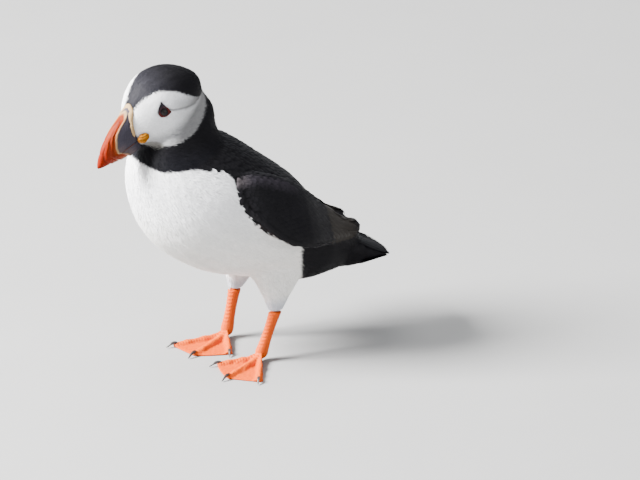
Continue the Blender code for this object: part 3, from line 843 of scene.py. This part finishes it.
def laid(roots, headings, lengths, stations, lift, overhang):
    """Paths that lie over the skin from roots along headings, held off it by `lift` (n, k). Past
    a sharp edge of the skin a path runs straight on, by little more than `overhang`.

    Gives the paths, their upward directions and the skin's faces under them."""
    paths, ups = np.empty((2, len(roots), len(stations), 3))
    under = np.empty((len(roots), len(stations)), np.int64)
    place, normal, face = skin.nearest(roots)
    heading = unit(headings - normal * (headings * normal).sum(1, keepdims=True))
    under[:, 0], free = face, np.zeros(len(roots), bool)
    for s, at in enumerate(stations):
        if s:
            step = (at - stations[s - 1]) * lengths
            straight = place + heading * step[:, None]
            near, turned, face = skin.nearest(straight)
            off = np.linalg.norm(near - straight, axis=1)
            leaves = ~free & (((turned * normal).sum(1) < SHARP) | (off > 0.5 * step + 0.4 * MM))
            to_edge = np.maximum(((near - place) * heading).sum(1), 0)
            step = np.where(leaves, np.minimum(step, to_edge + overhang), step)
            step = np.where(free, np.minimum(step, 0.3 * overhang), step)
            free |= leaves
            place = np.where(free[:, None], place + heading * step[:, None], near)
            normal = np.where(free[:, None], normal, turned)
            tangent = unit(heading - normal * (heading * normal).sum(1, keepdims=True))
            heading = np.where(free[:, None], heading, tangent)
            under[:, s] = np.where(free, under[:, s - 1], face)
        paths[:, s] = place + normal * lift[:, s, None]
        ups[:, s] = normal
    return paths, ups, under


def even(paths, ups):
    """True for paths that bend gently and keep to one side of the skin."""
    ahead = unit(np.diff(paths, axis=1))
    bend = (ahead[:, 1:] * ahead[:, :-1]).sum(2).min(1)
    twist = (ups[:, 1:] * ups[:, :-1]).sum(2).min(1)
    return (bend > LEAST_STRAIGHT) & (twist > LEAST_LEVEL)


def coloured(paths, under):
    """The plumage's colour at each station of paths."""
    owner = skin_owner[skin_quads[under.ravel(), 0]]
    return plumage(paths.reshape(-1, 3), owner).reshape(paths.shape)


# ---- feathers

MOST_TRIANGLES = 190000  # in one coat piece
EDGE_LEAN = 0.38  # how far the shading turns outwards at a blade's edges

# Barbs are fine and vanes are broad: places along them, and how wide they are there.
BARB = (0.0, 0.34, 0.76, 1.0)
BARB_WIDTH = np.array((0.55, 1.0, 0.8, 0.0))
VANE = (0.0, 0.15, 0.35, 0.55, 0.75, 0.9, 1.0)
VANE_WIDTH = np.array((0.5, 0.82, 0.98, 1.0, 0.9, 0.58, 0.0))
QUILL_WIDTH = np.array((0.6, 0.85, 0.95, 1.0, 1.0, 1.0, 0.92, 0.68, 0.0))


def blades(paths, normals, half, rise):
    """Closed three-sided blades along paths: points, triangles, for each point how far along the
    blade it is and its side (-1 to 1), and the shading normals of the triangles' corners."""
    n, k, _ = paths.shape
    along = unit(np.gradient(paths, axis=1))
    inner = slice(1, k - 1)
    up, out = normals[:, inner], unit(np.cross(normals, along))[:, inner]
    wide, lift = half[:, inner, None] * out, rise[:, inner, None] * up
    rings = np.stack((paths[:, inner] - wide, paths[:, inner] + lift, paths[:, inner] + wide), 2)
    lean = np.stack((up - EDGE_LEAN * out, up, up + EDGE_LEAN * out), 2)

    def whole(ends, ringed):
        return np.concatenate((ends[:, :1], ringed.reshape(n, -1, 3), ends[:, -1:]), 1)

    points, shading = whole(paths, rings), whole(normals, lean)
    flat = whole(normals, np.repeat(up, 3, axis=1))
    last = 3 * (k - 2) + 1
    faces, below = [(0, 1, 2), (0, 2, 3), (0, 3, 1)], [False, False, True]
    for ring in range(k - 3):
        r, s = 1 + 3 * ring, 4 + 3 * ring
        for p, q in ((0, 1), (1, 2), (2, 0)):
            faces += [(r + p, s + p, s + q), (r + p, s + q, r + q)]
            below += [q == 0] * 2
    a, b, c = last - 3, last - 2, last - 1
    faces += [(a, last, b), (b, last, c), (c, last, a)]
    below += [False, False, True]
    faces, below = np.array(faces), np.array(below)[None, :, None, None]
    triangles = (np.arange(n)[:, None, None] * points.shape[1] + faces).reshape(-1, 3)
    t = np.concatenate(([0], np.repeat(np.linspace(0, 1, k)[1:-1], 3), [1]))
    side = np.concatenate(([0], np.tile((-1, 0, 1), k - 2), [0]))
    corners = np.where(below, -flat[:, faces], unit(shading)[:, faces])
    return points.reshape(-1, 3), triangles, t, side, corners.reshape(-1, 3)


def feather_pieces(name, kept, paths, ups, half, rise, colours, uv, share=1.0, shaft=0.0):
    """Joined meshes of the blades that are kept. `uv` is each blade's middle in the OFBake map,
    and `share` is how much of a tuft's patch is its own."""
    paths, ups, half, rise, uv = (values[kept] for values in (paths, ups, half, rise, uv))
    colours = np.clip(colours[kept], 0.001, 0.95)
    stations = paths.shape[1]
    most = MOST_TRIANGLES // (6 * (stations - 2))
    pieces = []
    for number, start in enumerate(range(0, len(paths), most)):
        part = slice(start, start + most)
        points, triangles, t, side, shading = blades(paths[part], ups[part], half[part], rise[part])
        # Painted shade: each blade is darker at its root, where the coat shades it, and lighter towards its
        # tip. A shaft, where there is one, darkens its middle line.
        shade = (0.88 + 0.14 * t) * (1 - shaft * (side == 0))
        station = np.round(t * (stations - 1)).astype(int)
        tint = (colours[part][:, station] * shade[None, :, None]).reshape(-1, 3)
        offset = np.stack((t - 0.5, 0.5 * side * share), 1) * PATCH
        places = (uv[part, None] + offset).reshape(-1, 2)
        piece = new_object(f"{name}_{number + 1}", points, triangles, tint, places, shading)
        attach(piece, "root")
        pieces.append(piece)
    return pieces


FAN = 0.25  # how far a tuft's outermost barbs turn out (radians)
SHORTENED = 0.42  # the share of its length that a barb keeps if it would reach over the eye


def covered(name, nodes, spacing, length, count, width, keep=None, overhang=0.8):
    """A part of the bird covered evenly with tufts of `count` fine barbs. Sizes in millimetres."""
    patch = part_of_skin(keep, *nodes)
    roots, faces, weights, normal, owner, heading, depth = rooted(patch, spacing)
    length, width, n = length * MM, width * MM / math.sqrt(THIN), len(roots)
    across = np.cross(normal, heading)
    j = (np.arange(count) + 0.5) / count * 2 - 1
    turn = j * FAN + rng.normal(0, 0.07, (n, count))
    own = length * (1 - 0.25 * j**2) * rng.uniform(0.8, 1.08, (n, count))
    start = roots[:, None] + across[:, None] * (j * 0.5)[:, None] * (width * count * 0.7)
    head = heading[:, None] * np.cos(turn)[:, :, None] + across[:, None] * np.sin(turn)[:, :, None]
    own, start, head = own.ravel(), start.reshape(-1, 3), head.reshape(-1, 3)
    height = np.repeat(depth, count) * rng.uniform(0.62, 1.1, n * count)
    lift = height[:, None] * (0.05 + 0.95 * (1 - (1 - np.array(BARB)) ** 2))
    for _ in range(2):
        paths, ups, under = laid(start, head, own, BARB, lift, overhang * MM)
        deepest = np.maximum(in_eye(paths[:, -1]), in_eye(paths[:, 2]))
        own = np.where(deepest > 0.1, own * SHORTENED, own)
    onto = np.char.startswith(skin_owner[skin_quads[under[:, 1:], 0]].astype(str), "wing").any(1)
    from_wing = np.repeat(np.char.startswith(owner.astype(str), "wing"), count)
    kept = (deepest < 0.8) & even(paths, ups) & (~onto | from_wing)
    half = np.tile(width * 0.5 * BARB_WIDTH, (n * count, 1))
    tone = np.repeat(rng.normal(1, 0.03, n), count) * rng.normal(1, 0.02, n * count)
    colours = coloured(paths, under) * tone[:, None, None]
    uv = np.repeat((skin_uv[faces] * weights[:, :, None]).sum(1), count, axis=0)
    uv = uv + np.stack((np.zeros(n * count), np.tile(j * 0.5, n)), 1) * PATCH
    return feather_pieces(name, kept, paths, ups, half, half * 0.5, colours, uv, 1 / count)


def vanes(name, roots, headings, length, half, depth, slot, shaft=0.2, spread=0.08, overhang=1.0):
    """Broad feathers with a low shaft, one at each root."""
    lift = depth[:, None] * (0.25 + 0.8 * np.array(VANE))
    paths, ups, under = laid(roots, headings, length, VANE, lift, overhang * MM)
    widths = half[:, None] * VANE_WIDTH
    rise = np.minimum(widths * 0.12, 0.25 * MM)
    colour = coloured(paths, under) * rng.normal(1, spread, (len(roots), 1, 1))
    uv = skin_uv[skin.nearest(roots)[2]].mean(1)
    kept = (np.maximum(in_eye(paths[:, -1]), in_eye(paths[:, 3])) < 0.3) & even(paths, ups)
    return feather_pieces(name, kept, paths, ups, widths, rise, colour, uv, shaft=shaft)


def down(name, nodes, spacing, length, half, slot, keep=None):
    """An even layer of small rounded feathers close to the skin. Sizes in millimetres."""
    roots, _, _, _, _, heading, depth = rooted(part_of_skin(keep, *nodes), spacing)
    count, size = len(roots), MM / math.sqrt(THIN)
    depth = depth * 0.5 * rng.uniform(0.85, 1.1, count)
    lengths, halves = np.full(count, size * length), np.full(count, size * half)
    return vanes(name, roots, heading, lengths, halves, depth, slot, shaft=0.04, spread=0.03)


def mantle_vanes():
    """Small rounded feathers over the back and the rump, larger towards the tail."""
    faces = part_of_skin(lambda points: ~white_part(points), "mantle")
    rump = part_of_skin(lambda points: points[:, 1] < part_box("tail")[1].y - 24 * MM, "tail")
    upper = unit(face_normals(skin_points, skin_quads[rump]))[:, 2] > 0.3
    roots, _, _, _, _, heading, depth = rooted(np.concatenate((faces, rump[upper])), 2.4)
    size = smooth(-30, 40, body_mm(roots)[1])
    depth = depth * rng.uniform(0.85, 1.1, len(roots))
    length, half = (6.5 + 3.5 * size) * MM, (1.7 + 0.9 * size) * MM
    return vanes("back_vanes", roots, heading, length, half, depth, "black_plumage")


def on_wing(side, s, v):
    """The wing's outer skin at a place along and across it (metres from the wrist)."""
    wrist, _, along, out, up = WING[side]
    start = wrist + along * s + up * v + out * 40 * MM
    place, _, face, _ = skin.tree.ray_cast(Vector(start), Vector(-out))
    if place is None or skin_owner[skin_quads[face, 0]] not in ("wing_" + side, "primaries_" + side):
        return None
    return np.array(place)


# A covert at the wrist, and how much more it is at the wing's tip (mm).
COVERT_LENGTH, COVERT_HALF, COVERT_ASIDE, COVERT_PITCH = (5.2, 15), (1.8, 1.55), (2.5, 2.2), (2.3, 2.6)


def wing_vanes(side):
    """The folded wing: rows of coverts that grow from the wrist towards the tip."""
    wrist, tip, along, _, up = WING[side]
    reach = np.linalg.norm(tip - wrist)
    roots, length, half, depth = [], [], [], []
    s, row = -6 * MM, 0
    while s < reach:
        share = max(0.0, min(1.0, s / reach))
        across = (COVERT_ASIDE[0] + COVERT_ASIDE[1] * share) * MM
        for k in range(-16, 17):
            v = (k + 0.5 * (row % 2)) * across + rng.normal(0, 0.15) * MM
            place = on_wing(side, s + rng.normal(0, 0.2) * MM, v)
            if place is None:
                continue
            roots.append(place)
            own = (COVERT_LENGTH[0] + COVERT_LENGTH[1] * share**1.25) * MM * rng.uniform(0.94, 1.06)
            length.append(max(3 * MM, min(own, reach - s - 1 * MM)))
            half.append((COVERT_HALF[0] + COVERT_HALF[1] * share) * MM)
            depth.append(rng.uniform(0.85, 1.1) * MM)
        s += (COVERT_PITCH[0] + COVERT_PITCH[1] * share**1.1) * MM
        row += 1
    headings = np.tile(along - up * 0.06, (len(roots), 1)) + rng.normal(0, 0.025, (len(roots), 3))
    return vanes("wing_vanes_" + side, np.array(roots), headings, np.array(length), np.array(half),
                 np.array(depth), "black_plumage", overhang=0.25)


# The rim's feathers: half their width, their length and how high they lie, how far inside the edge
# their roots are, and how many roots ahead each points (mm).
RIM_HALF, RIM_LENGTH, RIM_DEPTH, RIM_INSET, RIM_AHEAD = 1.7, 5.6, 1.75, 0.9, 4


def rim_vanes(side):
    """Small feathers that follow the wing's front and lower edge."""
    s_middle, reach = 24 * MM, 60 * MM
    heights = [v * MM for v in range(-40, 30) if on_wing(side, s_middle, v * MM) is not None]
    v_middle = sum(heights) / len(heights)

    def at(angle, radius):
        return on_wing(side, s_middle + radius * math.cos(angle), v_middle + radius * math.sin(angle))

    points = []
    for angle in np.radians(np.arange(150, 318, 2.4)):
        inner, outer = 0.0, reach
        for _ in range(12):
            radius = (inner + outer) / 2
            inner, outer = (inner, radius) if at(angle, radius) is None else (radius, outer)
        points.append(at(angle, inner - RIM_INSET * MM))
    points = np.array(points)
    headings = points[RIM_AHEAD:] - points[:-RIM_AHEAD]
    sizes = (np.full(len(headings), size * MM) for size in (RIM_LENGTH, RIM_HALF, RIM_DEPTH))
    return vanes("wing_rim_" + side, points[:-RIM_AHEAD], headings, *sizes, "black_plumage", overhang=0.2)


QUILLS, QUILL_LONG, QUILL_HALF = 9, 34, 3.3  # the flight feathers that show (mm)


def edge_quills(side):
    """The long flight feathers' ends, stacked behind the coverts."""
    wrist, _, along, _, up = WING[side]
    primaries = node_points("primaries_" + side) - wrist
    s_all, v_all = primaries @ along, primaries @ up
    first, last = s_all.min(), s_all.max()
    long = QUILL_LONG * MM
    roots, headings, depth = [], [], []
    for k in range(QUILLS):
        share = k / (QUILLS - 1)
        end = first + (last - first) * (1.0 - 0.62 * share)
        near = v_all[np.abs(s_all - end) < 5 * MM]
        v_end = near.min() + (near.max() - near.min()) * (0.35 + 0.5 * share)
        v_start = v_end * 0.9
        place = on_wing(side, end - long, v_start)
        if place is not None:
            roots.append(place)
            headings.append(along * long + up * (v_end - v_start))
            depth.append((1.5 - 0.07 * k) * MM)
    length, half = np.full(len(roots), long), np.full(len(roots), QUILL_HALF * MM)
    return vanes("flight_quills_" + side, np.array(roots), unit(headings), length, half, np.array(depth),
                 "primary_plumage")


TAIL_QUILLS, TAIL_QUILL_HALF = 13, 2.6  # on each face of the tail (mm)
TAIL_FANS = ((1, 30), (-1, 22))  # the upper and the lower fan's direction and length (mm)


def tail_quills():
    """The tail's flat feathers, fanned above and below."""
    low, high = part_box("tail")
    solid, _ = cad_tree(("tail",))
    middle_x, rim_y = STAND[0], high.y - 0.8 * MM
    half_rim = (high.x - low.x) / 2 - 1.8 * MM
    stations = len(QUILL_WIDTH)
    paths, ups = [], []
    for face_up, long in TAIL_FANS:
        for share in np.linspace(-1, 1, TAIL_QUILLS):
            start = np.array((middle_x + share * half_rim * (1 - long / 110), rim_y - long * MM))
            end = np.array((middle_x + share * half_rim, rim_y - 4.5 * MM * share**2))
            path = []
            for k in range(stations):
                x, y = start + (end - start) * k / (stations - 1)
                place = solid.ray_cast(Vector((x, y, face_up * 0.4)), Vector((0, 0, -face_up)))[0]
                z = 2 * path[-1][2] - path[-2][2] if place is None else place.z
                path.append((x, y, z))
            paths.append(path)
            ups.append([(0.25 * share, 0.15, face_up)] * stations)
    paths, ups = np.array(paths), unit(np.array(ups))
    half = np.full(len(paths), TAIL_QUILL_HALF * MM)[:, None] * QUILL_WIDTH
    rise = np.minimum(half * 0.12, 0.22 * MM)
    tone = rng.normal(1, 0.08, (len(paths), 1, 1))
    colour = np.tile(BLACK, (*paths.shape[:2], 1)) * tone
    uv = skin_uv[skin.nearest(paths[:, 0])[2]].mean(1)
    everyone = np.ones(len(paths), bool)
    return feather_pieces("tail_quills", everyone, paths, ups, half, rise, colour, uv,
                          shaft=0.2)


def dress():
    """All the feathers."""
    white, black = "white_plumage", "black_plumage"
    pieces = down("head_down", ("head",), 1.5, 3.2, 1.05, white, feathered_face)
    pieces += covered("head_tufts", ("head",), 1.05, 3.0, 4, 0.30, feathered_face)
    pieces += down("neck_down", ("neck",), 2.1, 5.0, 1.5, black, feathered_face)
    pieces += covered("neck_tufts", ("neck",), 1.5, 5.2, 4, 0.38, feathered_face)
    pieces += down("trunk_down", ("trunk",), 2.6, 6.5, 1.9, white)
    pieces += covered("trunk_tufts", ("trunk",), 1.7, 7.0, 6, 0.44)
    pieces += covered("shoulder_tufts", ("mantle",), 1.7, 6.0, 6, 0.44, white_part)
    pieces += down("thigh_down", THIGHS, 2.0, 4.6, 1.4, white)
    pieces += covered("thigh_tufts", THIGHS, 1.5, 4.6, 4, 0.36, overhang=2.6)
    pieces += covered("wing_under_tufts", WINGS, 3.0, 6.5, 4, 0.6)
    pieces += down("tail_down", ("tail",), 2.3, 6.0, 1.7, black, before_rim)
    pieces += covered("tail_tufts", ("tail",), 2.1, 6.0, 5, 0.5, before_rim)
    pieces += mantle_vanes()
    for side in SIDES:
        pieces += wing_vanes(side) + rim_vanes(side) + edge_quills(side)
    return pieces + tail_quills()


# ---- eyes

IRIS = np.array((0.0045, 0.0022, 0.0015))
EYE_RIM = np.array((0.004, 0.003, 0.003))
PUPIL = np.array((0.003, 0.003, 0.004))


def eyeball(side):
    """A dark brown eye with a wide pupil under a domed cornea."""
    axis = unit(OUT * SIDES[side] + AHEAD * 0.28 - RISE * 0.02)
    across = unit(np.cross(axis, RISE))
    over = np.cross(across, axis)
    polar, turn, quads = ball(48, 64)
    rays = (np.cos(polar), np.cos(turn) * np.sin(polar), np.sin(turn) * np.sin(polar))
    swell = 1 + 0.03 * band(polar, 0.5) - 0.03
    points = eye_at[side] + np.stack(rays, 1) @ np.stack((axis, across, over)) * EYE_RADIUS * swell[:, None]
    streak = 1 + 0.25 * np.sin(turn * 17) * np.sin(turn * 5 + 1)
    colours = mixed(IRIS * streak[:, None], EYE_RIM, smooth(0.62, 0.8, polar))
    return new_object("eyeball_" + side, points, quads, mixed(colours, PUPIL, smooth(0.36, 0.30, polar)))


# ---- materials


class Shader:
    """A Principled material built up node by node, in object space."""

    def __init__(self, name, **values):
        self.material = bpy.data.materials.new(name)
        self.material.use_nodes = True
        self.tree = self.material.node_tree
        self.main = self.tree.nodes["Principled BSDF"]
        self.place = self.add("ShaderNodeTexCoord").outputs["Object"]
        for socket, value in values.items():
            self.main.inputs[socket.replace("_", " ")].default_value = value

    def add(self, kind, inputs=None, **settings):
        node = self.tree.nodes.new(kind)
        for key, value in settings.items():
            setattr(node, key, value)
        for key, value in (inputs or {}).items():
            if isinstance(value, bpy.types.NodeSocket):
                self.tree.links.new(value, node.inputs[key])
            else:
                node.inputs[key].default_value = value
        return node

    def link(self, output, socket):
        self.tree.links.new(output, self.main.inputs[socket])

    def tint(self):
        return self.add("ShaderNodeAttribute", attribute_name="tint").outputs["Color"]

    def noise(self, scale, detail):
        inputs = {"Vector": self.place, "Scale": scale, "Detail": detail}
        return self.add("ShaderNodeTexNoise", inputs).outputs["Fac"]

    def between(self, value, low, high):
        inputs = {"Value": value, "To Min": low, "To Max": high}
        return self.add("ShaderNodeMapRange", inputs).outputs["Result"]

    def uneven(self, scale, detail, low, high):
        return self.between(self.noise(scale, detail), low, high)

    def times(self, colour, factor):
        scaled = self.add("ShaderNodeVectorMath", {0: colour, "Scale": factor}, operation="SCALE")
        return scaled.outputs["Vector"]

    def base(self, *factors, colour=None):
        """The base colour: the tint, or one colour, times factors."""
        if colour is None:
            made = self.tint()
        else:
            made = self.add("ShaderNodeRGB").outputs[0]
            made.default_value = (*colour, 1)
        for factor in factors:
            made = self.times(made, factor)
        self.link(made, "Base Color")

    def bump(self, height, distance, strength, before=None):
        inputs = {"Height": height, "Distance": distance, "Strength": strength}
        if before is not None:
            inputs["Normal"] = before
        return self.add("ShaderNodeBump", inputs).outputs["Normal"]


def feather_material():
    """Soft plumage: the tint, with fine uneven tone."""
    m = Shader("feathers", Sheen_Weight=0.008, Sheen_Roughness=0.5, Specular_IOR_Level=0.07)
    m.base(m.uneven(900, 4, 0.86, 1.12), m.uneven(60, 2, 0.92, 1.06))
    bright = m.add("ShaderNodeRGBToBW", {"Color": m.tint()}).outputs[0]
    m.link(m.between(bright, 0.52, 0.85), "Roughness")
    m.link(m.bump(m.noise(2200, 2), 0.0001, 0.35), "Normal")
    return m.material


def bare_skin_material(name, roughness, scale, spread=0.14):
    """Bare skin with fine scales: legs, webs and the corners of the mouth."""
    m = Shader(name, Subsurface_Weight=0.12, Subsurface_Radius=(0.004, 0.0015, 0.0008),
               Subsurface_Scale=0.6, Specular_IOR_Level=0.1)
    cells = m.add("ShaderNodeTexVoronoi", {"Vector": m.place, "Scale": scale}, feature="DISTANCE_TO_EDGE")
    edge = {"Value": cells.outputs["Distance"], "From Max": 0.12}
    edge = m.add("ShaderNodeMapRange", edge).outputs["Result"]
    m.base(m.uneven(260, 4, 1 - spread, 1 + spread), m.between(edge, 0.90, 1.02))
    m.link(m.uneven(700, 3, roughness - 0.08, roughness + 0.12), "Roughness")
    fine = m.bump(m.noise(1800, 3), 0.00008, 0.5)
    m.link(m.bump(edge, 0.0001, 0.5, fine), "Normal")
    return m.material


CLAW_GREY = (0.022, 0.019, 0.018)
FLOOR_GREY = (0.25, 0.248, 0.244)


def finish(name, tones, rough, relief=None, colour=None, **values):
    """A material from noises, each with its scale and detail: `tones` that the colour is multiplied
    by and `rough`, both with a lowest and a highest value, and `relief`, with its depth in metres
    and its strength. The colour is the tint where none is given."""
    m = Shader(name, **values)
    m.base(*(m.uneven(*tone) for tone in tones), colour=colour)
    m.link(m.uneven(*rough), "Roughness")
    if relief:
        scale, detail, depth, strength = relief
        m.link(m.bump(m.noise(scale, detail), depth, strength), "Normal")
    return m.material


def horn_material(name, roughness):
    """Bill and plates: hard horn with an uneven tone and small scratches."""
    tones = [(420, 5, 0.80, 1.14), (90, 3, 0.88, 1.10)]
    rough = (600, 4, roughness - 0.08, roughness + 0.16)
    return finish(name, tones, rough, (1300, 4, 0.00012, 0.45),
                  Specular_IOR_Level=0.06, Coat_Weight=0.01, Coat_Roughness=0.3)


def claw_material():
    """Dark, worn claws."""
    tones, rough, relief = [(500, 4, 0.7, 1.5)], (900, 3, 0.28, 0.5), (1500, 3, 0.00008, 0.5)
    return finish("claw", tones, rough, relief, CLAW_GREY, Specular_IOR_Level=0.5)


def eye_material():
    """The glossy eye."""
    return finish("eye_gloss", [(1500, 3, 0.8, 1.2)], (500, 2, 0.10, 0.18),
                  Coat_Weight=0.08, Coat_Roughness=0.04, Specular_IOR_Level=0.14)


def floor_material():
    return finish("pale_floor", [(14, 4, 0.97, 1.03)], (40, 3, 0.7, 0.85), colour=FLOOR_GREY)


# ---- the bird put together


def give(piece, material, slot, *nodes):
    """A separate piece's material and the CAD nodes that it stands for. Its slot is not used."""
    piece.data.materials.append(material)
    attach(piece, "root")
    if nodes:
        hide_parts(*nodes)


feathers = feather_material()
body = whole_skin()
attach(body, "root")
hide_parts(*FEATHERED, *LEGS, *GAPES)
body.data.materials.append(feathers)
body.data.materials.append(bare_skin_material("leg_skin", 0.42, 1500))
body.data.materials.append(bare_skin_material("gape_skin", 0.5, 2000, 0.1))
body.data.materials.append(horn_material("eyelid_horn", 0.42))

for coat_piece in dress():
    coat_piece.data.materials.append(feathers)

horny = horn_material("bill_horn", 0.55)
for half_bill, is_lower in (("bill_upper", False), ("bill_lower", True)):
    give(new_object("horn_" + half_bill, *horn(half_bill, is_lower)), horny, "bill_horn", half_bill)
give(new_object("cere_rim", *cere()), horny, "bill_horn")

glossy = eye_material()
for side in SIDES:
    give(eyeball(side), glossy, "eye", "eye_" + side)

claw = claw_material()
for name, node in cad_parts.items():
    if name.startswith("claw_"):
        node.data.materials.clear()
        node.data.materials.append(claw)
        for face in node.data.polygons:
            face.use_smooth = True


# ---- floor, light, camera

# The camera stands CAMERA_TURN ahead of the bird's left side.
CAMERA_TURN, CAMERA_LIFT = math.radians(25), math.radians(21)
CAMERA_AWAY, VIEW_WIDTH = 7.0, 0.4129
AIM_RIGHT, AIM_UP = 0.0471, 0.0701  # from the point where the bird stands


def floor():
    bpy.ops.mesh.primitive_plane_add(size=12, location=(0, 0, 0))
    plane = bpy.context.object
    plane.name = "floor"
    plane.data.materials.append(floor_material())


def lamp(name, place, size, power, colour=(1, 1, 1)):
    data = bpy.data.lights.new(name, "AREA")
    data.size = size
    data.energy = power
    data.color = colour
    obj = bpy.data.objects.new(name, data)
    obj.location = place
    target = Vector((0, 0, 0.1))
    obj.rotation_euler = (target - obj.location).to_track_quat("-Z", "Y").to_euler()
    bpy.context.scene.collection.objects.link(obj)


def camera():
    """The photograph's view: 65 degrees round from the front and 21 degrees above."""
    sin_turn, cos_turn = math.sin(CAMERA_TURN), math.cos(CAMERA_TURN)
    sin_lift, cos_lift = math.sin(CAMERA_LIFT), math.cos(CAMERA_LIFT)
    right = Vector((sin_turn, cos_turn, 0))
    towards = Vector((cos_turn * cos_lift, -sin_turn * cos_lift, sin_lift))
    aim = Vector(STAND) + right * AIM_RIGHT + towards.cross(right) * AIM_UP
    data = bpy.data.cameras.new("camera")
    data.sensor_width = 36
    data.lens = 36 * CAMERA_AWAY / VIEW_WIDTH
    data.clip_end = 60
    obj = bpy.data.objects.new("camera", data)
    obj.location = aim + towards * CAMERA_AWAY
    obj.rotation_euler = towards.to_track_quat("Z", "Y").to_euler()
    bpy.context.scene.collection.objects.link(obj)
    bpy.context.scene.camera = obj


def studio():
    world = bpy.data.worlds.new("studio")
    world.use_nodes = True
    back = world.node_tree.nodes["Background"]
    back.inputs["Color"].default_value = (0.80, 0.84, 0.90, 1)
    back.inputs["Strength"].default_value = 0.6
    bpy.context.scene.world = world
    lamp("key", (-0.45, -2.1, 1.7), 1.0, 800)
    lamp("fill", (1.9, 0.5, 0.9), 1.8, 26, (0.95, 0.97, 1))
    lamp("top", (-0.4, 0.0, 2.2), 1.8, 60)


floor()
studio()
camera()
